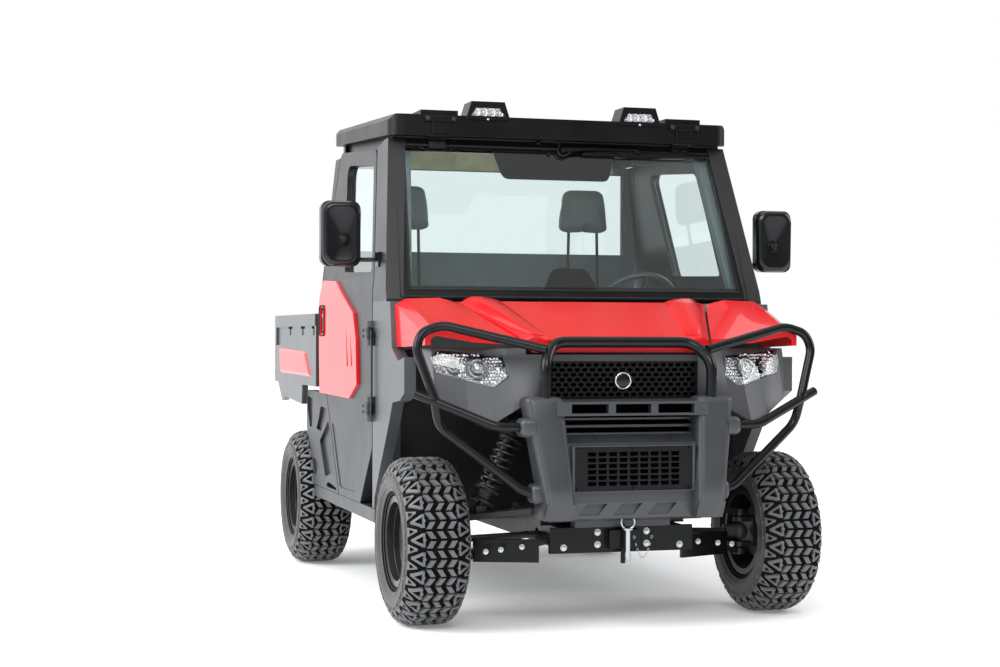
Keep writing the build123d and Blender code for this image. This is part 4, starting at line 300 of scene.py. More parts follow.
# ------------------------------------------------------------------ finishes
@dataclass(frozen=True)
class HardFinish:
    """Paint, moulded plastic, rubber or metal, with grain, uneven gloss, dust and worn edges."""

    name: str
    colour: Colour
    roughness: float
    metallic: float = 0.0
    coat: float = 0.0
    coat_roughness: float = 0.05
    specular: float = 0.5
    variation: float = 0.08
    dust: float = 0.05
    dust_colour: Colour = (0.34, 0.31, 0.27)
    grain_scale: float = 900.0
    grain_depth: float = 0.00004
    grain_roughening: float = 0.5
    edge_radius: float = 0.003
    wear: float = 0.25
    wear_colour: Colour = (0.2, 0.2, 0.2)
    second_colour: Colour | None = None
    second_above: float = 0.0
    second_axis: str = "Z"

    def build(self, groups: NodeGroups) -> bpy.types.Material:
        """Make the material.

        Args:
            groups: the shared node groups.

        Returns:
            The material.
        """
        material, shader = new_material(self.name, {
            "Metallic": self.metallic, "Coat Weight": self.coat, "Coat Roughness": self.coat_roughness,
            "Specular IOR Level": self.specular})
        tree = material.node_tree
        patina = use_group(material, groups.patina(), Colour=(*self.colour, 1), Variation=self.variation,
                           Dust_Colour=(*self.dust_colour, 1), Dust=self.dust, Roughness=self.roughness)
        edges = use_group(material, groups.edges(), Radius=self.edge_radius)
        wear = add_node(tree, "Math", {1: self.wear}, operation="MULTIPLY")
        worn = add_node(tree, "Mix", {"B": (*self.wear_colour, 1)}, data_type="RGBA")
        grain = use_group(material, groups.grain(), Scale=self.grain_scale, Roughening=self.grain_roughening)
        bump = add_node(tree, "Bump", {"Distance": self.grain_depth})
        if self.second_colour is not None:
            self._split_colour(tree, patina)
        join(tree, (edges, "Mask", wear, 0), (wear, "Value", worn, "Factor"), (patina, "Colour", worn, "A"),
             (worn, "Result", shader, "Base Color"), (patina, "Roughness", shader, "Roughness"),
             (grain, "Height", bump, "Height"), (edges, "Normal", bump, "Normal"),
             (bump, "Normal", shader, "Normal"))
        return material

    def _split_colour(self, tree: bpy.types.NodeTree, patina: bpy.types.Node) -> None:
        """Use the second colour past a place along one axis of the piece.

        Args:
            tree: the material's nodes.
            patina: the group that takes the colour.
        """
        place = add_node(tree, "TexCoord")
        split = add_node(tree, "SeparateXYZ")
        above = add_node(tree, "Math", {1: self.second_above}, operation="GREATER_THAN")
        pick = add_node(tree, "Mix", {"A": (*self.colour, 1), "B": (*self.second_colour, 1)}, data_type="RGBA")
        join(tree, (place, "Object", split, 0), (split, self.second_axis, above, 0),
             (above, "Value", pick, "Factor"), (pick, "Result", patina, "Colour"))


@dataclass(frozen=True)
class GlassFinish:
    """Clear or tinted glass."""

    name: str
    colour: Colour
    ior: float = 1.45
    film: float = 0.03
    film_scale: float = 9.0

    def build(self, groups: NodeGroups) -> bpy.types.Material:
        """Make the material.

        Args:
            groups: the shared node groups.

        Returns:
            The material.
        """
        material, shader = new_material(self.name, {
            "Transmission Weight": 1.0, "IOR": self.ior, "Roughness": 0.0})
        patina = use_group(material, groups.patina(), Colour=(*self.colour, 1), Variation=self.film,
                           Scale=self.film_scale, Dust=0.0, Roughness=0.0)
        join(material.node_tree, (patina, "Colour", shader, "Base Color"))
        return material


@dataclass(frozen=True)
class ClothFinish:
    """Woven or napped cloth."""

    name: str
    colour: Colour
    roughness: float = 0.9
    variation: float = 0.15
    mottling: float = 14.0
    dust: float = 0.05
    weave_scale: float = 500.0
    weave_depth: float = 0.0003
    sheen: float = 0.3

    def build(self, groups: NodeGroups) -> bpy.types.Material:
        """Make the material.

        Args:
            groups: the shared node groups.

        Returns:
            The material.
        """
        material, shader = new_material(self.name, {"Sheen Weight": self.sheen})
        tree = material.node_tree
        patina = use_group(material, groups.patina(), Colour=(*self.colour, 1), Variation=self.variation,
                           Scale=self.mottling, Dust=self.dust, Roughness=self.roughness)
        weave = use_group(material, groups.weave(), Scale=self.weave_scale)
        bump = add_node(tree, "Bump", {"Distance": self.weave_depth})
        join(tree, (patina, "Colour", shader, "Base Color"), (patina, "Roughness", shader, "Roughness"),
             (weave, "Height", bump, "Height"), (bump, "Normal", shader, "Normal"))
        return material


AnyFinish = HardFinish | GlassFinish | ClothFinish

RED = HardFinish("gloss_red_paint", (0.76, 0.006, 0.009), 0.30, coat=0.6, coat_roughness=0.04,
                 specular=0.35, variation=0.03, dust=0.01, grain_scale=420.0, grain_depth=0.000012,
                 edge_radius=0.004, wear=0.0)
GREY = HardFinish("moulded_grey_plastic", (0.042, 0.044, 0.048), 0.40, coat=0.65, coat_roughness=0.28,
                  variation=0.10, grain_scale=1300.0, grain_depth=0.00006, wear_colour=(0.10, 0.10, 0.105))
DOOR = replace(GREY, name="door_moulding", colour=(0.021, 0.023, 0.0262), roughness=0.42, coat=0.12,
               coat_roughness=0.30, dust=0.04, grain_depth=0.00002, wear=0.2, wear_colour=(0.07, 0.07, 0.075),
               second_colour=(0.006, 0.006, 0.007), second_above=1.34)
SIDES = replace(GREY, name="side_moulding", colour=(0.060, 0.064, 0.070), roughness=0.42, coat=0.30, wear=0.2,
                wear_colour=(0.08, 0.08, 0.085), second_colour=(0.005, 0.005, 0.006), second_above=1.232)
NOSE = replace(GREY, name="nose_moulding", colour=(0.037, 0.040, 0.045), coat=0.25, coat_roughness=0.25,
               dust=0.04, grain_depth=0.00005, wear=0.2)
BLACK = HardFinish("satin_black_frame", (0.0040, 0.0046, 0.0054), 0.30, specular=0.22, variation=0.12,
                   dust=0.02, grain_scale=700.0, grain_depth=0.00003, wear=0.1, wear_colour=(0.04, 0.04, 0.045))
ROOF = HardFinish("roof_black_plastic", (0.0024, 0.0027, 0.0033), 0.36, specular=0.22, variation=0.12,
                  dust=0.02, grain_scale=1100.0, grain_depth=0.00006, wear=0.15, wear_colour=(0.03, 0.03, 0.035))
STEEL = HardFinish("dark_steel", (0.022, 0.022, 0.024), 0.42, metallic=0.3, variation=0.15, dust=0.10,
                   grain_scale=500.0, grain_depth=0.00008, wear=0.35, wear_colour=(0.16, 0.16, 0.16))
WHEEL = HardFinish("wheel_black", (0.018, 0.018, 0.020), 0.34, metallic=0.2, coat=0.3, variation=0.12,
                   dust=0.08, grain_scale=600.0, grain_depth=0.00003, wear=0.3, wear_colour=(0.12, 0.12, 0.12))
# Near-black carcass that shows between the lugs, far darker than the blocks of the same rubber: painted shade in the
# grooves.
RUBBER = HardFinish("tyre_rubber", (0.0030, 0.0030, 0.0033), 0.85, specular=0.12, variation=0.18, dust=0.03,
                    dust_colour=(0.06, 0.058, 0.055), grain_scale=800.0, grain_depth=0.0002, wear=0.1,
                    wear_colour=(0.02, 0.02, 0.02), edge_radius=0.002)
SIDEWALL = HardFinish("sidewall_rubber", (0.060, 0.057, 0.053), 0.46, variation=0.22, dust=0.20,
                      dust_colour=(0.14, 0.13, 0.12), grain_scale=700.0, grain_depth=0.0002, wear=0.4,
                      wear_colour=(0.15, 0.145, 0.14), edge_radius=0.002)
# Tread blocks a lighter grey than the carcass, for their lit tops: painted light. Their strong light worn edges are
# in part painted highlight.
TREAD = HardFinish("tread_rubber", (0.115, 0.119, 0.124), 0.50, variation=0.18, dust=0.10,
                   dust_colour=(0.16, 0.155, 0.15), grain_scale=800.0, grain_depth=0.0002, wear=0.7,
                   wear_colour=(0.33, 0.34, 0.35), edge_radius=0.0012)
SEAL = HardFinish("rubber_seal", (0.010, 0.010, 0.010), 0.7, variation=0.1, grain_depth=0.00005, wear=0.2,
                  wear_colour=(0.04, 0.04, 0.04), edge_radius=0.002)
# The seats' own blue-grey, set lighter to make up for the dim light inside the cab behind the glass: partly painted
# light.
VINYL = HardFinish("seat_vinyl", (0.205, 0.255, 0.265), 0.45, variation=0.12, dust=0.04, grain_scale=650.0,
                   grain_depth=0.00025, grain_roughening=0.25, wear=0.15, wear_colour=(0.28, 0.30, 0.30))
SHELL = HardFinish("mirror_shell_black", (0.007, 0.0075, 0.0085), 0.20, coat=0.15, coat_roughness=0.1,
                   specular=0.35, variation=0.06, dust=0.03, wear=0.15, wear_colour=(0.07, 0.07, 0.07))
CAST = HardFinish("cast_machinery", (0.06, 0.06, 0.063), 0.55, metallic=0.6, variation=0.2, dust=0.15,
                  grain_scale=240.0, grain_depth=0.0003, wear=0.3)
ZINC = HardFinish("zinc_plated", (0.55, 0.56, 0.57), 0.32, metallic=1.0, variation=0.1, grain_scale=500.0,
                  grain_depth=0.00002, wear=0.1, edge_radius=0.001)
CHROME = HardFinish("bright_reflector", (0.86, 0.87, 0.88), 0.08, metallic=1.0, variation=0.03, dust=0.0,
                    grain_scale=60.0, grain_depth=0.0002, wear=0.0, edge_radius=0.001)
PEARL = replace(CHROME, name="white_reflector", colour=(0.80, 0.81, 0.82), roughness=0.30, metallic=0.0)
MIRROR = HardFinish("mirror_glass", (0.9, 0.92, 0.92), 0.02, metallic=1.0, variation=0.01, dust=0.0,
                    grain_depth=0.0, wear=0.0)
FRIT = HardFinish("black_glass_border", (0.004, 0.004, 0.004), 0.12, coat=1.0, variation=0.05, dust=0.02,
                  grain_depth=0.0, wear=0.0)
SPRING = HardFinish("spring_black", (0.02, 0.02, 0.021), 0.28, coat=0.6, variation=0.1, wear=0.2,
                    edge_radius=0.001)
TAIL_RED = HardFinish("tail_lamp_red", (0.35, 0.008, 0.006), 0.15, coat=1.0, variation=0.05, dust=0.02,
                      wear=0.0)
CAB_GLASS = GlassFinish("tinted_cab_glass", (0.87, 0.945, 0.935), film=0.0)
LENS = GlassFinish("clear_lens", (0.96, 0.97, 0.98))
# Pale base colour, much lighter than the olive cloth, makes up for the little light that reaches the headlining
# through the cab glass: painted light.
HEADLINING = ClothFinish("olive_headlining", (0.88, 0.84, 0.56), weave_depth=0.0001)
HOUSING = HardFinish("lamp_housing", (0.16, 0.165, 0.175), 0.22, metallic=1.0, variation=0.05, dust=0.0,
                     grain_scale=90.0, grain_depth=0.0003, wear=0.0, edge_radius=0.001)
# The cab mouldings' own blue-grey, set lighter to make up for the dim light inside the cab behind the glass: partly
# painted light.
INTERIOR = HardFinish("cab_moulding", (0.180, 0.228, 0.240), 0.5, variation=0.10, grain_depth=0.00008,
                      wear=0.1, wear_colour=(0.14, 0.15, 0.15))
BACK_WALL = replace(INTERIOR, name="back_wall_moulding", second_colour=(0.006, 0.006, 0.007),
                    second_above=0.411, second_axis="Y")
FLOOR = replace(INTERIOR, name="floor_and_firewall", colour=(0.0055, 0.0060, 0.0070), dust=0.04,
                wear_colour=(0.03, 0.03, 0.035), second_colour=INTERIOR.colour, second_above=-0.6585,
                second_axis="Y")
# Near-black, matte and without gloss, for sheets set inside openings: painted shade.
OPENING_SHADE = HardFinish("opening_shadow", (0.0012, 0.0012, 0.0013), 0.95, specular=0.0, variation=0.02, dust=0.0,
                  grain_depth=0.0, wear=0.0)
TUBE = HardFinish("guard_tube_black", (0.0048, 0.0054, 0.0064), 0.22, specular=0.28, dust=0.01,
                  grain_scale=700.0, grain_depth=0.00002, wear=0.0)


class FinishBook:
    """Builds each finish once and hands out its material."""

    def __init__(self) -> None:
        """Start with no material built."""
        self._groups = NodeGroups()
        self._made: dict[str, bpy.types.Material] = {}

    def material(self, finish: AnyFinish) -> bpy.types.Material:
        """Return the material of a finish, building it the first time."""
        if finish.name not in self._made:
            self._made[finish.name] = finish.build(self._groups)
        return self._made[finish.name]


# ------------------------------------------------------------------ outlines shared by the pieces
def turns(count: int) -> list[float]:
    """Angles of evenly spaced places round a circle."""
    return [2 * math.pi * i / count for i in range(count)]


def rounded(width: float, height: float, corner: float, steps: int = 6) -> list[tuple[float, float]]:
    """Outline of a rectangle with round corners about the origin.

    Args:
        width: full width.
        height: full height.
        corner: radius of the corners.
        steps: points round each corner, less one.

    Returns:
        Points in turning order.
    """
    points = []
    for cx, cy, start in ((1, 1, 0), (-1, 1, 90), (-1, -1, 180), (1, -1, 270)):
        for i in range(steps + 1):
            a = math.radians(start + 90 * i / steps)
            points.append((cx * (width / 2 - corner) + corner * math.cos(a),
                           cy * (height / 2 - corner) + corner * math.sin(a)))
    return points


def ball_profile(radius: float, steps: int = 12, pinch: float = 0.0004) -> list[tuple[float, float]]:
    """Section of a ball for spinning: (distance along the axis, radius)."""
    return [(-radius * math.cos(math.pi * i / steps), max(pinch, radius * math.sin(math.pi * i / steps)))
            for i in range(steps + 1)]


# ------------------------------------------------------------------ mesh building
class Mould:
    """A mesh in the making, from the simple solids that the vehicle's small pieces are made of."""

    def __init__(self) -> None:
        """Start an empty mesh."""
        self.mesh = bmesh.new()

    def _corners(self, ring: Sequence[Point]) -> list[bmesh.types.BMVert]:
        """Add the points of a ring."""
        return [self.mesh.verts.new(Vector(p)) for p in ring]

    def _wall(self, low: list[bmesh.types.BMVert], high: list[bmesh.types.BMVert]) -> None:
        """Join two rings of as many points by a wall."""
        for i in range(len(low)):
            j = (i + 1) % len(low)
            self.mesh.faces.new((low[i], low[j], high[j], high[i]))

    def loft(self, rings: Sequence[Sequence[Point]]) -> None:
        """Add a solid through a row of rings of as many points."""
        made = [self._corners(ring) for ring in rings]
        self.mesh.faces.new(made[0][::-1])
        self.mesh.faces.new(made[-1])
        for low, high in zip(made, made[1:]):
            self._wall(low, high)

    def prism(self, ring: Sequence[Point], rise: Point) -> None:
        """Add a solid between a closed ring of points and the same ring moved along rise."""
        self.loft((ring, [Vector(p) + Vector(rise) for p in ring]))

    def frame(self, outer: tuple[Sequence[Point], Sequence[Point]], inner: tuple[Sequence[Point], Sequence[Point]]
              ) -> None:
        """Add a ring-shaped solid between two walls.

        Args:
            outer: lower and upper ring of the outer wall.
            inner: lower and upper ring of the inner wall.
        """
        walls = [self._corners(ring) for ring in (outer[0], outer[1], inner[1], inner[0])]
        for low, high in zip(walls, walls[1:] + walls[:1]):
            self._wall(low, high)

    def block(self, low: Point, high: Point) -> None:
        """Add a box between two corners."""
        (x0, y0, z0), (x1, y1, z1) = low, high
        self.prism([(x0, y0, z0), (x1, y0, z0), (x1, y1, z0), (x0, y1, z0)], (0, 0, z1 - z0))

    def disc(self, centre: Point, axis: Point, radius: float, length: float, sides: int = 24,
             top_radius: float | None = None) -> None:
        """Add a round bar or a cone that starts at centre and runs along axis.

        Args:
            centre: middle of the first end.
            axis: direction of the bar.
            radius: radius at the first end.
            length: length of the bar.
            sides: facets round it.
            top_radius: radius at the other end, if it differs.
        """
        turn = Vector(axis).normalized().to_track_quat("Z", "Y")
        far = radius if top_radius is None else top_radius
        self.loft([[Vector(centre) + turn @ Vector((r * math.cos(a), r * math.sin(a), d)) for a in turns(sides)]
                   for r, d in ((radius, 0.0), (far, length))])

    def pipe(self, path: Sequence[Point], radius: float, sides: int = 12, closed: bool = False) -> None:
        """Add a round bar that follows a path.

        Args:
            path: points along the bar's middle.
            radius: radius of the bar.
            sides: facets round it.
            closed: whether the path joins its own start.
        """
        points = [Vector(p) for p in path]
        count = len(points)
        rings = []
        side = None
        for i, p in enumerate(points):
            before = points[i - 1] if (i > 0 or closed) else p
            after = points[(i + 1) % count] if (i < count - 1 or closed) else p
            along = (after - before).normalized()
            if side is None:
                side = along.orthogonal().normalized()
            side = (side - along * side.dot(along)).normalized()
            other = along.cross(side)
            rings.append(self._corners([p + radius * (side * math.cos(a) + other * math.sin(a))
                                        for a in turns(sides)]))
        for low, high in zip(rings, rings[1:] + rings[:1] if closed else rings[1:]):
            self._wall(low, high)
        if not closed:
            self.mesh.faces.new(rings[0][::-1])
            self.mesh.faces.new(rings[-1])

    def spin(self, centre: Point, axis: Point, profile: Sequence[tuple[float, float]], steps: int = 96) -> None:
        """Add a turned solid.

        Args:
            centre: a point on the axis.
            axis: the axis to turn about.
            profile: closed ring of (distance along the axis, radius).
            steps: facets round the axis.
        """
        turn = Vector(axis).normalized().to_track_quat("Z", "Y")
        rings = [self._corners([Vector(centre) + turn @ Vector((r * math.cos(a), r * math.sin(a), d))
                                for d, r in profile]) for a in turns(steps)]
        for a, b in zip(rings, rings[1:] + rings[:1]):
            for k in range(len(profile)):
                m = (k + 1) % len(profile)
                self.mesh.faces.new((a[k], b[k], b[m], a[m]))

    def bolt(self, head: Point, axis: Point, radius: float, height: float) -> None:
        """Add a hexagon bolt head on its washer.

        Args:
            head: middle of the washer's seat.
            axis: direction out of the surface.
            radius: half the head's width across its corners.
            height: height of the head.
        """
        washer, crown, chamfer = 0.25, 0.75, 0.1
        out = Vector(axis).normalized()
        self.disc(head, axis, radius * 1.35, height * washer, 16)
        seat = Vector(head) + out * height * washer
        self.disc(tuple(seat), axis, radius, height * crown, 6)
        self.disc(tuple(seat + out * height * crown), axis, radius * 0.8, height * chamfer, 12, radius * 0.6)


@dataclass
class Workshop:
    """The frame and the finishes, and the way a mould becomes a piece."""

    frame: dict
    finishes: FinishBook = field(default_factory=FinishBook)
    made: list[bpy.types.Object] = field(default_factory=list)

    def piece(self, name: str, mould: Mould, finish: AnyFinish, body: str = "chassis",
              bevel: float = 0.0, smooth: float = 35.0, replaces: Sequence[str] = ()) -> bpy.types.Object:
        """Turn a mould into a dressed piece that rides on a body.

        Args:
            name: the piece's name.
            mould: its mesh.
            finish: its finish.
            body: the body it rides on.
            bevel: width of rounded edges, in metres.
            smooth: angle, in degrees, under which neighbouring faces shade as one.
            replaces: nodes that the piece stands for.

        Returns:
            The piece.
        """
        bmesh.ops.remove_doubles(mould.mesh, verts=mould.mesh.verts, dist=1e-6)
        bmesh.ops.recalc_face_normals(mould.mesh, faces=mould.mesh.faces)
        data = bpy.data.meshes.new(name)
        mould.mesh.to_mesh(data)
        mould.mesh.free()
        made = bpy.data.objects.new(name, data)
        bpy.context.scene.collection.objects.link(made)
        data.materials.append(self.finishes.material(finish))
        if bevel > 0:
            rounding = made.modifiers.new("rounded", "BEVEL")
            rounding.width = bevel
            rounding.segments = 2
            rounding.limit_method = "ANGLE"
            rounding.angle_limit = math.radians(30)
        data.shade_smooth()
        data.set_sharp_from_angle(angle=math.radians(smooth))
        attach(made, body)
        if replaces:
            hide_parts(*replaces)
        self.made.append(made)
        return made

    def dress(self, node: str, finish: AnyFinish) -> None:
        """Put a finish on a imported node.

        Args:
            node: the node's name.
            finish: its finish.
        """
        for place in self.frame["nodes"][node].material_slots:
            place.material = self.finishes.material(finish)


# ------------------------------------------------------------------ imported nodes
NODE_FINISHES: dict[str, AnyFinish] = {
    Finish.RED_PAINT.value: RED, Finish.MOULDED_GREY.value: GREY, Finish.FRAME_BLACK.value: BLACK,
    Finish.ROOF_BLACK.value: ROOF, Finish.STEEL_DARK.value: STEEL, Finish.RIM_BLACK.value: WHEEL,
    Finish.TYRE.value: RUBBER, Finish.GLASS.value: CAB_GLASS, Finish.LAMP_LENS.value: LENS,
    Finish.SEAT_VINYL.value: VINYL, Finish.MIRROR_SHELL.value: SHELL, Finish.HEADLINER.value: HEADLINING,
    Finish.MACHINERY.value: CAST, Finish.REFLECTOR.value: HOUSING}
# nodes whose finish differs from the rest of their slot
SPECIAL_FINISHES: dict[str, HardFinish] = {
    "door_left": DOOR, "door_right": DOOR, "quarter_panels": DOOR, "sills": DOOR, "front_sides": SIDES,
    "front_mask": NOSE, "bumper": NOSE, "grilles": BLACK, "cowl": INTERIOR, "cab_posts": BACK_WALL,
    "rear_wall": BACK_WALL, "seat_box": INTERIOR, "floor_pan": FLOOR}


def dress_nodes(shop: Workshop) -> None:
    """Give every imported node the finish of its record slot.

    Args:
        shop: the workshop.
    """
    for row in shop.frame["record"]["subparts"]:
        shop.dress(row["node"], NODE_FINISHES[row["material_slot"]])
    for node, finish in SPECIAL_FINISHES.items():
        shop.dress(node, finish)


# ------------------------------------------------------------------ wheels
@dataclass
class Tyre:
    """One off-road tyre with its block tread."""

    axle: str
    side: Side
    pitches: int = 28
    columns: tuple[float, ...] = (-0.040, 0.0, 0.040)
    groove: float = 0.0125
    sunk: float = 0.003
    draft: float = 0.90
    steps: int = 108
    # the tread is drawn for this half width and stretched to the tyre's own
    drawn_half: float = 0.125
    # bead to sidewall: distance from the centre plane and radius
    bead: tuple[tuple[float, float], ...] = ((0.0945, 0.1585), (0.0945, 0.172), (0.100, 0.176), (0.108, 0.181))

    def __post_init__(self) -> None:
        """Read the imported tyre's centre, its radius over the lugs and half its width."""
        self.name = f"{self.axle}_{self.side.word}"
        low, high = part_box(f"tyre_{self.name}")
        self.centre = (low + high) / 2
        self.radius = (high.z - low.z) / 2
        self.half = (high.x - low.x) / 2

    def build(self, shop: Workshop) -> None:
        """Make the carcass, the sidewalls and the tread.

        Args:
            shop: the workshop.
        """
        carcass, walls, blocks = Mould(), Mould(), Mould()
        carcass.spin(tuple(self.centre), (1, 0, 0), self._carcass(), self.steps)
        self._sidewalls(walls)
        self._ribs(walls)
        self._tread(blocks)
        # The near-black carcass is painted groove shade, and the grey blocks are painted light on the block tops.
        for word, mould, finish, smooth in (("carcass", carcass, RUBBER, 28.0), ("sidewalls", walls, SIDEWALL, 28.0),
                                            ("tread", blocks, TREAD, 20.0)):
            shop.piece(f"tyre_{word}_{self.name}", mould, finish, f"wheel_{self.name}", smooth=smooth,
                       replaces=(f"tyre_{self.name}",))

    def _crown(self) -> list[tuple[float, float]]:
        """Carcass from the tread's middle to the shoulder, as (distance from the centre plane, radius)."""
        base = self.radius - self.groove
        return [(0.0, base), (0.060, base - 0.001), (self.half - 0.038, base - 0.008), (self.half - 0.020, 0.284),
                (self.half - 0.008, 0.264), (self.half - 0.002, 0.243)]

    def _carcass(self) -> list[tuple[float, float]]:
        """Section of the tyre under its lugs: closed ring of (distance from the centre plane, radius)."""
        crown = self._crown()
        outer = [*self.bead, (self.half - 0.006, 0.205), (self.half - 0.002, 0.224), *crown[:0:-1],
                 (0.030, crown[0][1])]
        return outer + crown[:1] + [(-x, r) for x, r in reversed(outer)]

    def _surface(self, x: float) -> float:
        """Radius of the carcass at a distance from the centre plane."""
        rows = self._crown()
        across = abs(x)
        for (x0, r0), (x1, r1) in zip(rows, rows[1:]):
            if across <= x1:
                return r0 + (r1 - r0) * (across - x0) / (x1 - x0)
        return rows[-1][1]

    def _at(self, across: float, r: float, angle: float) -> Point:
        """A point by its distance from the centre plane, its radius and its angle round the axle."""
        middle = self.centre
        return (middle.x + across, middle.y + r * math.cos(angle), middle.z + r * math.sin(angle))

    def _lug(self, mould: Mould, turn: float, corners: Sequence[tuple[float, float, float]]) -> None:
        """Add one block of rubber.

        Args:
            mould: the tyre's mesh.
            turn: angle of the block's pitch.
            corners: rows of distance from the centre plane, distance round the tread and height.
        """
        mid_x = sum(c[0] for c in corners) / len(corners)
        mid_s = sum(c[1] for c in corners) / len(corners)
        foot, head = [], []
        for x, s, height in corners:
            base = self._surface(x) - self.sunk
            for ring, share, r in ((foot, 1.0, base), (head, self.draft, base + self.sunk + height)):
                angle = turn + (mid_s + (s - mid_s) * share) / self.radius
                ring.append(self._at(mid_x + (x - mid_x) * share, r, angle))
        mould.loft((foot, head))

    def _rings(self, turn: float, corners: Sequence[tuple[float, float, float]]) -> tuple[list[Point], list[Point]]:
        """Foot and head of a wall that stands on the carcass.

        Args:
            turn: angle of the wall's pitch.
            corners: rows of distance from the centre plane, distance round the tread and height.

        Returns:
            The lower and the upper ring.
        """
        foot, head = [], []
        for x, s, height in corners:
            base = self._surface(x)
            foot.append(self._at(x, base - self.sunk, turn + s / self.radius))
            head.append(self._at(x, base + height, turn + s / self.radius))
        return foot, head

    def _tread(self, mould: Mould) -> None:
        """Add all the blocks: three columns that zigzag together, and hollow triangles on both shoulders."""
        pitch = 2 * math.pi * self.radius / self.pitches
        wide = self.half / self.drawn_half
        top = self.groove
        # each outline as distance across, share of the pitch and, past the columns, height
        slants = ([(-0.0195, 0.03), (0.0015, 0.03), (0.0195, 0.43), (-0.0015, 0.43)],
                  [(-0.0015, 0.53), (0.0195, 0.53), (0.0015, 0.93), (-0.0195, 0.93)])
        shoulder = (((0.0630, -0.36, top), (0.0720, -0.36, top), (0.1080, -0.06, top - 0.002),
                     (0.1080, 0.06, top - 0.002), (0.0720, 0.36, top), (0.0630, 0.36, top)),
                    ((0.0700, -0.21, top), (0.0735, -0.19, top), (0.0960, -0.02, top - 0.001),
                     (0.0960, 0.02, top - 0.001), (0.0735, 0.19, top), (0.0700, 0.21, top)))
        flank = (((0.0900, -0.05, top - 0.001), (0.0900, 0.05, top - 0.001), (0.1175, 0.30, 0.006),
                  (0.1175, -0.30, 0.006)),
                 ((0.1000, -0.03, top - 0.003), (0.1000, 0.03, top - 0.003), (0.1125, 0.15, 0.008),
                  (0.1125, -0.15, 0.008)))
        nub, nub_out = ((0.0560, -0.07), (0.0600, -0.07), (0.0600, 0.07), (0.0560, 0.07)), 0.0035
        for turn in turns(self.pitches):
            for column in self.columns:
                for corners in slants:
                    self._lug(mould, turn, [((column + x) * wide, s * pitch, top) for x, s in corners])
            for sign, phase in ((-1, 0.48), (1, 0.98)):
                for outer, inner, shift in ((*shoulder, phase), (*flank, phase + 0.5)):
                    mould.frame(*(self._rings(turn, [(sign * x * wide, (shift + s) * pitch, h)
                                                     for x, s, h in corners]) for corners in (outer, inner)))
                self._lug(mould, turn, [(sign * (x + nub_out) * wide, (phase + s) * pitch, top) for x, s in nub])
                self._knob(mould, turn + (phase + 0.5) * pitch / self.radius, sign)

    def _knob(self, mould: Mould, turn: float, sign: int) -> None:
        """Add one small square knob low on the shoulder."""
        spread, low, high = 0.006 / self.radius, 0.246, 0.257
        mould.loft([[self._at(sign * x, r, turn + a)
                     for r, a in ((low, -spread), (low, spread), (high, spread), (high, -spread))]
                    for x in (self.half - 0.010, self.half - 0.0008)])

    def _sidewalls(self, mould: Mould) -> None:
        """Add the smooth skin of both sidewalls, between the bead and the shoulder."""
        thick = 0.004
        face = [(0.1065, 0.1795), (self.half - 0.0055, 0.204), (self.half - 0.0014, 0.224),
                (self.half - 0.0014, 0.243), (self.half - 0.0074, 0.265)]
        for sign in (-1, 1):
            ring = [(sign * x, r) for x, r in face] + [(sign * (x - thick), r) for x, r in reversed(face)]
            mould.spin(tuple(self.centre), (1, 0, 0), ring, self.steps)

    def _ribs(self, mould: Mould) -> None:
        """Add the thin rings on both sidewalls."""
        sunk, proud = 0.004, 0.0035
        for sign in (-1, 1):
            for depth, r, wide in ((0.0065, 0.206, 0.0025), (0.004, 0.222, 0.0018), (0.0035, 0.250, 0.0018)):
                x = self.half - depth
                ring = [(sign * (x - sunk), r - wide), (sign * (x + proud), r - wide / 2),
                        (sign * (x + proud), r + wide / 2), (sign * (x - sunk), r + wide)]
                mould.spin(tuple(self.centre), (1, 0, 0), ring if sign > 0 else ring[::-1], self.steps)


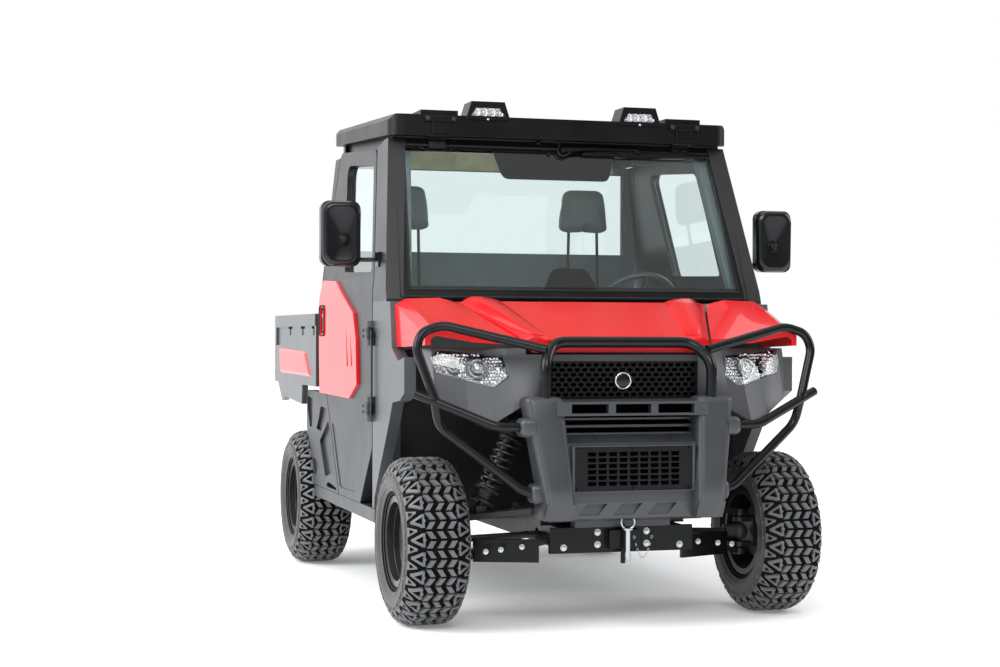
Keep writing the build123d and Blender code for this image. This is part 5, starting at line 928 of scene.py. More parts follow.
# ------------------------------------------------------------------ windscreen
@dataclass
class Windscreen:
    """Printed border, hinge straps and wiper of the windscreen."""

    foot: Point = (0.0, -0.882, 1.263)
    head: Point = (0.0, -0.628, 1.906)
    glass_in: float = 0.006
    strap_x: float = 0.530
    strap_half: float = 0.036
    roof_face: float = -0.694
    roof_top: float = 1.984
    # outlines as distance across and up the slope
    top_lobe: Outline = (
        (-0.297, 0.652), (-0.286, 0.604), (-0.266, 0.532), (-0.256, 0.519), (-0.240, 0.513), (0.176, 0.513),
        (0.192, 0.519), (0.202, 0.532), (0.228, 0.604), (0.247, 0.652))
    foot_lobe: Outline = (
        (-0.150, 0.016), (-0.140, 0.028), (-0.108, 0.094), (-0.094, 0.110), (-0.070, 0.117), (0.026, 0.117),
        (0.046, 0.110), (0.058, 0.094), (0.086, 0.028), (0.096, 0.016))
    strap_lobe: Outline = (
        (-0.072, 0.652), (-0.062, 0.640), (-0.046, 0.630), (0.046, 0.630), (0.062, 0.640), (0.072, 0.652))
    side_band: Outline = ((0.702, 0.016), (0.676, 0.652), (0.664, 0.652), (0.688, 0.030))
    foot_band: Outline = ((-0.702, 0.016), (0.702, 0.016), (0.698, 0.034), (-0.698, 0.034))
    top_band: Outline = ((-0.680, 0.642), (0.680, 0.642), (0.680, 0.652), (-0.680, 0.652))
    # half width at the foot and at the top, lower and upper edge, and how far out
    seals: tuple[tuple[float, ...], ...] = ((0.704, 0.676, 0.016, 0.655, 0.0), (0.738, 0.709, -0.016, 0.688, 0.002))
    seal_radius: float = 0.0045
    # the wiper's flat parts: outline, and how far out it starts and ends
    wiper_parts: tuple[tuple[Outline, float, float], ...] = (
        (((0.000, 0.630), (0.000, 0.650), (0.120, 0.654), (0.330, 0.652), (0.330, 0.645), (0.120, 0.643)),
         0.020, 0.028),
        (((0.318, 0.652), (0.342, 0.652), (0.352, 0.634), (0.336, 0.634)), 0.016, 0.026),
        (((0.150, 0.634), (0.330, 0.639), (0.330, 0.645), (0.150, 0.640)), 0.010, 0.020),
        (((0.360, 0.634), (0.545, 0.639), (0.545, 0.645), (0.360, 0.640)), 0.010, 0.020),
        (((0.090, 0.627), (0.655, 0.627), (0.655, 0.632), (0.090, 0.632)), -0.004, 0.012),
        (((0.095, 0.629), (0.650, 0.629), (0.650, 0.639), (0.560, 0.643), (0.345, 0.648), (0.180, 0.643),
          (0.095, 0.639)), 0.009, 0.013))
    # distance across, up the slope and out
    hose: tuple[Point, ...] = (
        (-0.090, 0.680, 0.010), (-0.060, 0.690, 0.014), (-0.028, 0.684, 0.018), (-0.006, 0.664, 0.020),
        (-0.020, 0.642, 0.018), (-0.012, 0.622, 0.014), (0.010, 0.616, 0.012), (0.030, 0.628, 0.014),
        (0.050, 0.646, 0.024))
    hose_radius: float = 0.0028

    def _at(self, across: float, up: float, proud: float) -> Point:
        """A point by its place on the sloping screen.

        Args:
            across: distance to the vehicle's left.
            up: distance up the slope from the frame's foot.
            proud: distance out of the frame's face.

        Returns:
            The point.
        """
        slope = (Vector(self.head) - Vector(self.foot)).normalized()
        out = Vector((1, 0, 0)).cross(slope)
        place = Vector(self.foot) + slope * up + out * proud
        return (place.x + across, place.y, place.z)

    def _normal(self) -> Point:
        """Direction out of the screen."""
        return tuple(Vector(self._at(0, 0, 1)) - Vector(self._at(0, 0, 0)))

    def _flat(self, mould: Mould, outline: Outline, low: float, high: float) -> None:
        """Add a flat piece that lies on the screen, from one height off it to another."""
        base, top = self._at(0, 0, low), self._at(0, 0, high)
        rise = tuple(b - a for a, b in zip(base, top))
        mould.prism([self._at(u, v, low) for u, v in outline], rise)

    def build(self, shop: Workshop) -> None:
        """Make the pieces.

        Args:
            shop: the workshop.
        """
        self._border(shop)
        self._straps(shop)
        self._wiper(shop)

    def _border(self, shop: Workshop) -> None:
        """Make the black printed border with its lobes, and the seals."""
        mould = Mould()
        rise = (-self.glass_in - 0.0006, -self.glass_in + 0.0012)
        self._flat(mould, self.top_lobe, *rise)
        self._flat(mould, self.foot_lobe, *rise)
        for side in (-1, 1):
            self._flat(mould, [(side * self.strap_x + u, v) for u, v in self.strap_lobe], *rise)
            self._flat(mould, [(side * u, v) for u, v in self.side_band], *rise)
        self._flat(mould, self.foot_band, *rise)
        self._flat(mould, self.top_band, *rise)
        shop.piece("screen_border", mould, FRIT)
        seal = Mould()
        for half_low, half_high, low, high, proud in self.seals:
            ring = [self._at(across, up, proud) for across, up in
                    ((-half_low, low), (half_low, low), (half_high, high), (-half_high, high))]
            seal.pipe(ring, self.seal_radius, 8, closed=True)
        shop.piece("screen_seal", seal, SEAL, smooth=50)

    def _straps(self, shop: Workshop) -> None:
        """Make the hinge straps from the roof over the frame's upper edge."""
        mould, bolts = Mould(), Mould()
        face, normal, ahead = self.roof_face, self._normal(), (0, -1, 0)
        section = [(face, self.roof_top), (face - 0.009, self.roof_top), (face - 0.009, 1.914), (-0.648, 1.898),
                   (-0.6545, 1.858), (-0.648, 1.858), (-0.637, 1.905), (face, 1.922)]
        for side in (-1, 1):
            x = side * self.strap_x
            mould.prism([(x - self.strap_half, y, z) for y, z in section], (2 * self.strap_half, 0, 0))
            mould.block((x - 0.066, face - 0.017, 1.962), (x + 0.066, face + 0.004, self.roof_top))
            mould.disc((x - 0.045, -0.672, 1.909), (1, 0, 0), 0.011, 0.09, 16)
            for u in (-0.054, 0.054):
                bolts.bolt((x + u, face - 0.017, 1.973), ahead, 0.0065, 0.006)
            for u in (-0.021, 0.021):
                bolts.bolt(self._at(x + u, 0.664, 0.006), normal, 0.0085, 0.006)
        shop.piece("screen_hinge_straps", mould, BLACK, bevel=0.002)
        shop.piece("screen_hinge_bolts", bolts, STEEL)

    def _wiper(self, shop: Workshop) -> None:
        """Make the wiper: motor cap, arm, blade, washer nozzle and hose."""
        mould = Mould()
        normal = self._normal()
        mould.disc(self._at(0.006, 0.640, -0.004), normal, 0.021, 0.012, 28)
        mould.disc(self._at(0.006, 0.640, 0.008), normal, 0.013, 0.018, 20, 0.010)
        mould.disc(self._at(-0.052, 0.632, -0.006), normal, 0.009, 0.010, 16)
        mould.spin(self._at(-0.096, 0.676, 0.008), normal, ball_profile(0.010), 16)
        for outline, low, high in self.wiper_parts:
            self._flat(mould, outline, low, high)
        shop.piece("wiper", mould, BLACK, bevel=0.0012)
        hose = Mould()
        hose.pipe([self._at(*bend) for bend in self.hose], self.hose_radius, 8)
        shop.piece("washer_hose", hose, SEAL, smooth=60)


# ------------------------------------------------------------------ mirrors
@dataclass
class Mirror:
    """Shell back, ball joint and glass of one door mirror."""

    side: Side
    x: float = 0.939
    z: float = 1.501
    width: float = 0.160
    height: float = 0.262
    corner: float = 0.046
    # how much wider the shell grows with each metre of height
    spread: float = 0.18
    # each ring's place along the vehicle and the inset of its outline
    shell_rings: Outline = (
        (-0.700, 0.0), (-0.712, 0.0015), (-0.7215, 0.006), (-0.7265, 0.013), (-0.7280, 0.020), (-0.7270, 0.026))
    dish_y: float = -0.7165
    ball: Point = (0.928, -0.722, 1.478)
    arm: tuple[Point, Point] = ((0.770, -0.728, 1.392), (0.806, -0.700, 1.428))
    glass_y: float = -0.6685
    glass_border: float = 0.016

    def build(self, shop: Workshop) -> None:
        """Make the pieces.

        Args:
            shop: the workshop.
        """
        sign, word = self.side.value, self.side.word
        ball_x, ball_y, ball_z = self.ball
        shell, joint, glass = Mould(), Mould(), Mould()
        rings = [[(sign * self.x + u * (1.0 + self.spread * v), y, self.z + v)
                  for u, v in rounded(self.width - 2 * inset, self.height - 2 * inset,
                                      max(self.corner - inset * 0.4, 0.012))]
                 for y, inset in self.shell_rings]
        rings.append([(sign * ball_x + u, self.dish_y, ball_z + v) for u, v in rounded(0.030, 0.044, 0.006)])
        shell.loft(rings)
        shop.piece(f"mirror_back_{word}", shell, SHELL, smooth=24)
        joint.spin((sign * ball_x, ball_y, ball_z), (0, 1, 0), ball_profile(0.019, 14), 24)
        joint.disc((sign * ball_x, -0.716, ball_z), (0, -1, 0), 0.027, 0.008, 28, 0.022)
        (x0, y0, z0), (x1, y1, z1) = self.arm
        near, far = sorted((sign * x0, sign * x1))
        joint.block((near, y0, z0), (far, y1, z1))
        shop.piece(f"mirror_joint_{word}", joint, BLACK, bevel=0.001)
        glass.prism([(sign * self.x + u, self.glass_y, self.z + v)
                     for u, v in rounded(self.width - self.glass_border, self.height - self.glass_border, 0.026)],
                    (0, 0.002, 0))
        shop.piece(f"mirror_glass_{word}", glass, MIRROR)


# ------------------------------------------------------------------ springs
@dataclass
class CoilSpring:
    """The coil round one shock absorber, with its seats."""

    name: str
    side: Side
    axle_y: float
    top: tuple[float, float] = (0.337, 0.742)
    low: tuple[float, float] = (0.482, 0.442)
    # where the coil starts and ends along the shock absorber
    start: float = 0.22
    end: float = 0.86
    turns: float = 7.5
    steps: int = 18
    radius: float = 0.041
    wire: float = 0.0062
    seat_radius: float = 0.050
    seat_thickness: float = 0.010
    seat_sunk: float = 0.006

    def build(self, shop: Workshop) -> None:
        """Make the coil and the seats.

        Args:
            shop: the workshop.
        """
        sign = self.side.value
        top = Vector((sign * self.top[0], self.axle_y, self.top[1]))
        low = Vector((sign * self.low[0], self.axle_y, self.low[1]))
        axis = (top - low).normalized()
        start, end = low.lerp(top, self.start), low.lerp(top, self.end)
        turn = axis.to_track_quat("Z", "Y")
        count = int(self.turns * self.steps)
        path = []
        for i in range(count + 1):
            a = 2 * math.pi * self.turns * i / count
            round_axis = Vector((self.radius * math.cos(a), self.radius * math.sin(a), 0))
            path.append(tuple(start.lerp(end, i / count) + turn @ round_axis))
        coil, seats = Mould(), Mould()
        coil.pipe(path, self.wire, 8)
        shop.piece(f"spring_{self.name}", coil, SPRING, smooth=60)
        for place, way in ((start, -axis), (end, axis)):
            seats.disc(tuple(place - way * self.seat_sunk), tuple(way), self.seat_radius, self.seat_thickness, 32)
        seats.disc(tuple(end), tuple(axis), 0.036, 0.030, 24, 0.026)
        seats.disc(tuple(start), tuple(-axis), 0.034, 0.040, 24)
        shop.piece(f"spring_seats_{self.name}", seats, STEEL, bevel=0.0015)


# ------------------------------------------------------------------ wheels' rims
@dataclass
class WheelTrim:
    """Rolled edges of one wheel."""

    axle: str
    side: Side
    # how deep in the wheel, how far in from the rim, and radius of the bead
    beads: tuple[Point, ...] = ((0.004, 0.002, 0.0045), (0.030, 0.021, 0.003), (0.062, 0.025, 0.004))

    def build(self, shop: Workshop) -> None:
        """Make the piece.

        Args:
            shop: the workshop.
        """
        name, sign = f"{self.axle}_{self.side.word}", self.side.value
        low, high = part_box(f"rim_{name}")
        centre = (low + high) / 2
        face = high.x if sign > 0 else -low.x
        radius = (high.z - low.z) / 2
        edge = Mould()
        for depth, inset, bead in self.beads:
            ring = [(sign * (face - depth + bead * math.cos(a)), radius - inset + bead * math.sin(a))
                    for a in turns(8)]
            edge.spin((0, centre.y, centre.z), (1, 0, 0), ring, 72)
        shop.piece(f"rim_edge_{name}", edge, WHEEL, f"wheel_{name}", smooth=60)


@dataclass
class WheelNuts:
    """Nuts and grease cap on one wheel's disc, and thin near-black patches on the disc as painted shade of its vent
    holes.
    """

    axle: str
    side: Side
    disc: float = 0.034
    hub: float = 0.050
    nuts: int = 4
    bolt_circle: float = 0.070
    vents: int = 8
    vent_circle: float = 0.106
    vent: tuple[float, float, float] = (0.024, 0.046, 0.011)

    def build(self, shop: Workshop) -> None:
        """Make the pieces.

        Args:
            shop: the workshop.
        """
        name, sign = f"{self.axle}_{self.side.word}", self.side.value
        low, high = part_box(f"rim_{name}")
        centre = (low + high) / 2
        out = (sign, 0, 0)
        nuts, vents = Mould(), Mould()
        for i in range(self.nuts):
            a = math.radians(45 + 360 / self.nuts * i)
            place = (centre.x + sign * self.disc, centre.y + self.bolt_circle * math.cos(a),
                     centre.z + self.bolt_circle * math.sin(a))
            # washer, nut and stud
            nuts.disc(place, out, 0.014, 0.003, 20)
            nuts.disc(place, out, 0.0105, 0.016, 6, 0.0095)
            nuts.disc(place, out, 0.006, 0.022, 12)
        nuts.disc((centre.x + sign * self.hub, centre.y, centre.z), out, 0.030, 0.012, 32, 0.026)
        shop.piece(f"wheel_nuts_{name}", nuts, ZINC, f"wheel_{name}", bevel=0.0008)
        # Near-black patches stand for the dark insides of the vent holes: painted shade.
        for i in range(self.vents):
            a = math.radians(22.5 + 360 / self.vents * i)
            along = Vector((0, math.cos(a), math.sin(a)))
            across = Vector((0, -math.sin(a), math.cos(a)))
            face = Vector((centre.x + sign * (self.disc + 0.0004), centre.y, centre.z))
            middle = face + along * self.vent_circle
            ring = [tuple(middle + along * u + across * v) for u, v in rounded(*self.vent, 5)]
            vents.prism(ring, (sign * 0.0006, 0, 0))
        shop.piece(f"wheel_vents_{name}", vents, SEAL, f"wheel_{name}")


# ------------------------------------------------------------------ shapes that follow a packed panel
class Panel:
    """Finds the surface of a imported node, so that a form can follow it."""

    def __init__(self, node: bpy.types.Object) -> None:
        """Read the node's mesh.

        Args:
            node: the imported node.
        """
        data = node.data
        self._tree = BVHTree.FromPolygons([v.co.copy() for v in data.vertices],
                                          [tuple(p.vertices) for p in data.polygons])

    def ahead(self, x: float, z: float) -> Vector | None:
        """The foremost point of the node at a place, if it has one there."""
        return self._tree.ray_cast(Vector((x, -2.0, z)), Vector((0, 1, 0)))[0]

    def height(self, x: float, y: float) -> float:
        """Height of the node's top at a place, or of the nearest place along the vehicle that has one."""
        way = 0.006 if y < -1.1 else -0.006
        for step in range(12):
            hit = self._tree.ray_cast(Vector((x, y + way * step, 5.0)), Vector((0, 0, -1)))
            if hit[0] is not None:
                return hit[0].z
        raise ValueError(f"no panel near {x:.3f}, {y:.3f}")


@dataclass
class BonnetRidge:
    """A raised ridge of the bonnet, from the cowl towards the grille."""

    side: Side
    # distance along the bonnet, inner and outer edge, height
    stations: tuple[tuple[float, float, float, float], ...] = (
        (-0.926, 0.345, 0.505, 0.010), (-0.960, 0.338, 0.497, 0.013), (-1.020, 0.326, 0.480, 0.012),
        (-1.100, 0.310, 0.452, 0.010), (-1.180, 0.296, 0.420, 0.008), (-1.260, 0.284, 0.386, 0.006),
        (-1.320, 0.276, 0.350, 0.003))
    # share of the width, and share of the height, or none where the ridge dips under the skin
    section: tuple[tuple[float, float | None], ...] = (
        (0.0, None), (0.14, 0.8), (0.3, 1.0), (0.5, 1.0), (0.7, 1.0), (0.86, 0.8), (1.0, None))
    edge_sunk: float = 0.002
    foot_sunk: float = 0.006

    def build(self, shop: Workshop) -> None:
        """Make the ridge.

        Args:
            shop: the workshop.
        """
        sign = self.side.value
        skin = Panel(shop.frame["nodes"]["bonnet"])
        rings = []
        for y, inner, outer, rise in self.stations:
            row = []
            for share, lift in self.section:
                x = sign * (inner + (outer - inner) * share)
                row.append((x, skin.height(x, y), -self.edge_sunk if lift is None else lift * rise))
            rings.append([(x, y, z + h) for x, z, h in row] +
                         [(x, y, z - self.foot_sunk) for x, z, _ in reversed(row)])
        mould = Mould()
        mould.loft(rings)
        shop.piece(f"bonnet_ridge_{self.side.word}", mould, RED, "bonnet", smooth=30)


# ------------------------------------------------------------------ fasteners
@dataclass(frozen=True)
class BoltRow:
    """Like bolts on one body."""

    name: str
    body: str
    places: tuple[Point, ...]
    axis: Point
    radius: float
    height: float
    finish: HardFinish
    slot: Finish
    both_sides: bool = True
    round_head: bool = False

    def build(self, shop: Workshop) -> None:
        """Make the heads, on both sides of the vehicle where asked.

        Args:
            shop: the workshop.
        """
        for side in (Side if self.both_sides else (Side.LEFT,)):
            sign = side.value
            word = side.word if self.both_sides else "middle"
            heads = Mould()
            for x, y, z in self.places:
                place, axis = (sign * x, y, z), (sign * self.axis[0], self.axis[1], self.axis[2])
                if self.round_head:
                    rise = self.height * 0.5
                    heads.disc(place, axis, self.radius, rise, 20)
                    seat = Vector(place) + Vector(axis).normalized() * rise
                    heads.disc(tuple(seat), axis, self.radius, rise, 20, self.radius * 0.6)
                else:
                    heads.bolt(place, axis, self.radius, self.height)
            shop.piece(f"{self.name}_{word}", heads, self.finish, self.body.format(side=side.word))


AHEAD, OUTWARD, REARWARD = (0.0, -1.0, 0.0), (1.0, 0.0, 0.0), (0.0, 1.0, 0.0)
BOLT_ROWS = (
    BoltRow("guard_bolts", "chassis", ((0.358, -1.272, 0.300), (0.441, -1.272, 0.292), (0.500, -1.272, 0.286)),
            AHEAD, 0.008, 0.007, ZINC, Finish.STEEL_DARK),
    BoltRow("grille_screws", "chassis", ((0.222, -1.524, 0.682), (0.222, -1.524, 0.532)),
            AHEAD, 0.006, 0.003, BLACK, Finish.FRAME_BLACK, round_head=True),
    BoltRow("grille_screws_centre", "chassis", ((0.0, -1.524, 0.682), (0.0, -1.524, 0.532)),
            AHEAD, 0.006, 0.003, BLACK, Finish.FRAME_BLACK, both_sides=False, round_head=True),
    BoltRow("hitch_bolts", "chassis", ((0.098, -1.390, 0.360), (0.098, -1.390, 0.314), (0.232, -1.390, 0.306)),
            AHEAD, 0.0095, 0.008, ZINC, Finish.STEEL_DARK),
    BoltRow("door_hinge_bolts", "chassis",
            ((0.8215, -0.676, 1.115), (0.8215, -0.676, 1.091), (0.8215, -0.676, 0.812), (0.8215, -0.676, 0.788)),
            OUTWARD, 0.0065, 0.005, STEEL, Finish.STEEL_DARK),
    BoltRow("door_strap_bolts", "door_{side}",
            ((0.8245, -0.612, 1.117), (0.8245, -0.612, 1.093), (0.8245, -0.612, 0.812), (0.8245, -0.612, 0.788)),
            OUTWARD, 0.0065, 0.005, STEEL, Finish.STEEL_DARK),
    BoltRow("bumper_clips", "chassis", ((0.150, -1.5005, 0.722),), AHEAD, 0.007, 0.003, BLACK,
            Finish.FRAME_BLACK, round_head=True),
    BoltRow("tailgate_chain_bolts", "tailgate", ((0.770, 1.5750, 0.935),), REARWARD, 0.008, 0.0035, ZINC,
            Finish.STEEL_DARK))


# ------------------------------------------------------------------ soft seats
@dataclass
class Pad:
    """One stuffed piece, swollen by a short cloth simulation."""

    name: str
    outline: Outline
    x_low: float
    x_high: float
    replaced: str
    sections: int = 6
    shrink: float = 0.010
    end_inset: float = 0.012
    cell: float = 0.006
    pressure: float = 4.0
    cap: float = 0.024
    fill: float = 0.7
    taper: float = 0.0
    corner: float = 0.022
    frames: int = 20

    def build(self, shop: Workshop) -> None:
        """Make the pad.

        Args:
            shop: the workshop.
        """
        mould = Mould()
        span = self.x_high - self.x_low
        rings = []
        for i in range(self.sections + 1):
            x = self.x_low + span * i / self.sections
            inset = self.shrink + (self.end_inset if i in (0, self.sections) else 0.0)
            rings.append([(x, y, z) for y, z in inset_outline(self.outline, inset)])
        rings[0] = [(self.x_low + self.shrink, y, z) for _, y, z in rings[0]]
        rings[-1] = [(self.x_high - self.shrink, y, z) for _, y, z in rings[-1]]
        mould.loft([[self._narrowed(*corner) for corner in ring] for ring in rings])
        made = shop.piece(self.name, mould, VINYL, smooth=80, replaces=(self.replaced,))
        self._round(made)
        self._swell(made)

    def _narrowed(self, x: float, y: float, z: float) -> Point:
        """A corner drawn in towards the pad's middle, the more so the higher it is."""
        heights = [p[1] for p in self.outline]
        share = (z - min(heights)) / (max(heights) - min(heights))
        middle = (self.x_low + self.x_high) / 2
        return (middle + (x - middle) * (1.0 - self.taper * share ** 2), y, z)

    def _round(self, made: bpy.types.Object) -> None:
        """Turn the block into an even, round-cornered skin."""
        soften = made.modifiers.new("corners", "BEVEL")
        soften.width = self.corner
        soften.segments = 4
        soften.limit_method = "ANGLE"
        skin = made.modifiers.new("skin", "REMESH")
        skin.mode = "VOXEL"
        skin.voxel_size = self.cell
        apply_modifiers(made)
        made.data.shade_smooth()

    def _swell(self, made: bpy.types.Object) -> None:
        """Swell the skin under pressure and cap how far each point moves."""
        rest = [v.co.copy() for v in made.data.vertices]
        cloth = made.modifiers.new("swelling", "CLOTH")
        cloth.settings.use_pressure = True
        cloth.settings.uniform_pressure_force = self.pressure
        cloth.settings.effector_weights.gravity = 0.0
        cloth.settings.quality = 3
        scene = bpy.context.scene
        for frame in range(1, self.frames + 1):
            scene.frame_set(frame)
        apply_modifiers(made)
        scene.frame_set(1)
        for vertex, start in zip(made.data.vertices, rest):
            move = vertex.co - start
            if move.length > self.cap:
                vertex.co = start + move * (self.cap / move.length)
        made.data.shade_smooth()


def inset_outline(outline: Outline, inset: float) -> list[tuple[float, float]]:
    """Pull a closed outline in towards its middle by about inset."""
    cy = sum(p[0] for p in outline) / len(outline)
    cz = sum(p[1] for p in outline) / len(outline)
    shrunk = []
    for y, z in outline:
        away = math.hypot(y - cy, z - cz)
        share = (away - inset) / away
        shrunk.append((cy + (y - cy) * share, cz + (z - cz) * share))
    return shrunk


def apply_modifiers(made: bpy.types.Object) -> None:
    """Turn a piece's modifiers into its mesh."""
    graph = bpy.context.evaluated_depsgraph_get()
    shape = bpy.data.meshes.new_from_object(made.evaluated_get(graph), depsgraph=graph)
    made.modifiers.clear()
    made.data = shape


@dataclass
class Seats:
    """Cushions, backs and headrests."""

    spans: tuple[tuple[str, float, float], ...] = (
        ("right", -0.620, -0.215), ("middle", -0.205, 0.205), ("left", 0.215, 0.620))
    # outlines as place along the vehicle and height
    cushion: Outline = (
        (-0.150, 0.642), (-0.150, 0.735), (-0.120, 0.765), (0.050, 0.762), (0.232, 0.748), (0.225, 0.642))
    back: Outline = (
        (0.236, 0.762), (0.252, 0.960), (0.268, 1.170), (0.300, 1.198), (0.343, 1.198), (0.362, 1.160),
        (0.345, 0.900), (0.334, 0.680), (0.245, 0.660))
    headrest: Outline = (
        (0.300, 1.570), (0.288, 1.600), (0.286, 1.760), (0.304, 1.794), (0.340, 1.794), (0.362, 1.762),
        (0.366, 1.640), (0.352, 1.575))
    headrest_x: float = 0.435
    headrest_half: float = 0.130
    posts: tuple[float, ...] = (-0.070, 0.070)
    post_y: float = 0.3265
    post_lean: float = 0.10
    post_radius: float = 0.007

    def build(self, shop: Workshop) -> None:
        """Make the pads and the headrests' posts.

        Args:
            shop: the workshop.
        """
        for word, low, high in self.spans:
            Pad(f"seat_cushion_{word}", self.cushion, low, high, "seats").build(shop)
            Pad(f"seat_back_{word}", self.back, low, high, "seats").build(shop)
        posts, y = Mould(), self.post_y
        for side in Side:
            middle = side.value * self.headrest_x
            Pad(f"headrest_{side.word}", self.headrest, middle - self.headrest_half, middle + self.headrest_half,
                "headrests", cap=0.018, cell=0.005, taper=0.24).build(shop)
            for post in self.posts:
                x = middle + post
                lean = self.post_lean * post
                posts.pipe([(x + lean, y, 1.196), (x + lean / 2, y, 1.40), (x, y, 1.585)], self.post_radius, 16)
                posts.disc((x + lean, y, 1.197), (0, 0, 1), 0.014, 0.016, 20, 0.011)
        shop.piece("headrest_posts", posts, BLACK, smooth=60, replaces=("headrests",))


# ------------------------------------------------------------------ door fittings
@dataclass
class DoorFittings:
    """Bezel, paddle and lock of one door's handle."""

    side: Side
    face: float = 0.796
    handle_y: float = 0.3375
    handle_z: float = 1.163
    # width, height and corner radius
    bezel: tuple[float, float, float] = (0.112, 0.134, 0.020)
    bezel_out: float = 0.0155
    bezel_radius: float = 0.0045
    paddle: tuple[float, float, float] = (0.062, 0.106, 0.016)
    # how far out, and share of the outline
    paddle_rings: Outline = ((-0.002, 1.0), (0.006, 1.0), (0.010, 0.86))
    lock_z: float = 1.186
    lock_out: float = 0.009

    def build(self, shop: Workshop) -> None:
        """Make the pieces.

        Args:
            shop: the workshop.
        """
        sign, word = self.side.value, self.side.word
        body = f"door_{word}"
        bezel, paddle, lock = Mould(), Mould(), Mould()
        bezel.pipe([(sign * (self.face + self.bezel_out), self.handle_y + u, self.handle_z + v)
                    for u, v in rounded(*self.bezel)], self.bezel_radius, 8, closed=True)
        shop.piece(f"handle_bezel_{word}", bezel, SEAL, body, smooth=60)
        paddle.loft([[(sign * (self.face + depth), self.handle_y + u * share, self.handle_z + v * share)
                      for u, v in rounded(*self.paddle)] for depth, share in self.paddle_rings])
        shop.piece(f"handle_paddle_{word}", paddle, SHELL, body, smooth=50)
        lock.disc((sign * (self.face + self.lock_out), self.handle_y, self.lock_z), (sign, 0, 0), 0.010, 0.0035, 28)
        shop.piece(f"handle_lock_{word}", lock, ZINC, body)


# ------------------------------------------------------------------ tow hitch
@dataclass
class TowPin:
    """Pin, lifting ring and chain of the front hitch."""

    x: float = 0.0
    y: float = -1.452
    top: float = 0.372
    foot: float = 0.262
    radius: float = 0.0095
    loop_radius: float = 0.026
    links: int = 11
    chain_start: float = 0.030
    chain_reach: float = 0.070
    chain_z: float = 0.268
    chain_sag: float = 0.075

    def build(self, shop: Workshop) -> None:
        """Make the pieces.

        Args:
            shop: the workshop.
        """
        pin, chain = Mould(), Mould()
        pin.disc((self.x, self.y, self.foot), (0, 0, 1), self.radius, self.top - self.foot, 24)
        pin.disc((self.x, self.y, self.top), (0, 0, 1), 2 * self.radius, 0.007, 28)
        pin.disc((self.x, self.y, self.foot), (0, 0, -1), self.radius, 0.008, 24, 0.005)
        loop = [(self.x + self.loop_radius * math.sin(a), self.y - 0.002,
                 self.top + 0.030 - self.loop_radius * math.cos(a)) for a in turns(24)]
        pin.pipe(loop, 0.0035, 8, closed=True)
        shop.piece("tow_pin", pin, ZINC, smooth=40)
        across = Vector((0, 1, 0))
        for i in range(self.links):
            t = i / (self.links - 1)
            middle = Vector((self.x + self.chain_start + self.chain_reach * t, self.y + 0.012,
                             self.chain_z + self.chain_sag * (2 * t - 1) ** 2))
            along = Vector((self.chain_reach, 0, 4 * self.chain_sag * (2 * t - 1))).normalized()
            side = across if i % 2 else along.cross(across)
            link = [tuple(middle + along * 0.0062 * math.cos(a) + side * 0.0036 * math.sin(a)) for a in turns(12)]
            chain.pipe(link, 0.0011, 6, closed=True)
        shop.piece("tow_pin_chain", chain, ZINC, smooth=60)


# ------------------------------------------------------------------ front guard, and painted shade in the nose's openings
def bent(path: Sequence[Point], radius: float, steps: int = 8) -> list[Point]:
    """Round a path's corners as a tube bender does.

    Args:
        path: the corners.
        radius: radius of each bend, less where the straights are short.
        steps: points round a bend, less one.

    Returns:
        Points along the bent path.
    """
    points = [Vector(p) for p in path]
    made = [points[0]]
    for before, corner, after in zip(points, points[1:], points[2:]):
        to_start, to_end = before - corner, after - corner
        turn = math.pi - to_start.angle(to_end)
        reach = min(radius * math.tan(turn / 2), to_start.length * 0.48, to_end.length * 0.48)
        first, last = corner + to_start.normalized() * reach, corner + to_end.normalized() * reach
        for i in range(steps + 1):
            t = i / steps
            made.append(first * (1 - t) ** 2 + corner * 2 * t * (1 - t) + last * t ** 2)
    made.append(points[-1])
    return [tuple(p) for p in made]


@dataclass
class FrontGuard:
    """Bent tubes of the front guard and the collars that hold them."""

    hoop_radius: float = 0.021
    loop_radius: float = 0.0175
    bend: float = 0.100
    hoop: tuple[Point, ...] = (
        (0.328, -1.470, 0.840), (0.330, -1.470, 1.000), (0.280, -1.404, 1.073), (-0.280, -1.404, 1.073),
        (-0.330, -1.470, 1.000), (-0.328, -1.470, 0.840))
    loop: tuple[Point, ...] = (
        (0.322, -1.450, 1.046), (0.690, -1.346, 1.135), (0.772, -1.354, 1.108), (0.794, -1.364, 1.050),
        (0.733, -1.402, 0.866), (0.712, -1.387, 0.762), (0.418, -1.472, 0.530), (0.340, -1.480, 0.514))
    brace: tuple[Point, ...] = ((0.380, -1.470, 0.759), (0.520, -1.480, 0.763), (0.801, -1.375, 0.884))
    # middle along and up, depth, height, and how far across the collar starts and ends
    collars: tuple[tuple[float, ...], ...] = ((-1.4675, 0.760, 0.096, 0.070, 0.380, 0.432),
                                              (-1.4675, 0.518, 0.088, 0.072, 0.340, 0.389))
    # share of the collar's reach, and how far its outline is drawn in
    collar_rings: Outline = ((0.0, 0.0), (0.7, 0.0), (0.88, 0.006), (1.0, 0.020))
    collar_corner: float = 0.022

    def build(self, shop: Workshop) -> None:
        """Make the tubes and the collars.

        Args:
            shop: the workshop.
        """
        tubes = Mould()
        tubes.pipe(bent(self.hoop, self.bend), self.hoop_radius, 20)
        for side in Side:
            for path in (self.loop, self.brace):
                mirrored = [(side.value * x, y, z) for x, y, z in path]
                tubes.pipe(bent(mirrored, self.bend), self.loop_radius, 18)
        shop.piece("guard_tubes", tubes, TUBE, smooth=60, replaces=("bull_bar",))
        collars = Mould()
        for side in Side:
            for y, z, deep, tall, near, far in self.collars:
                reach = far - near
                collars.loft([[(side.value * (near + reach * t), y + u, z + v)
                               for u, v in rounded(deep - inset, tall - inset, self.collar_corner - inset / 3)]
                              for t, inset in self.collar_rings])
        shop.piece("guard_collars", collars, NOSE, smooth=50)


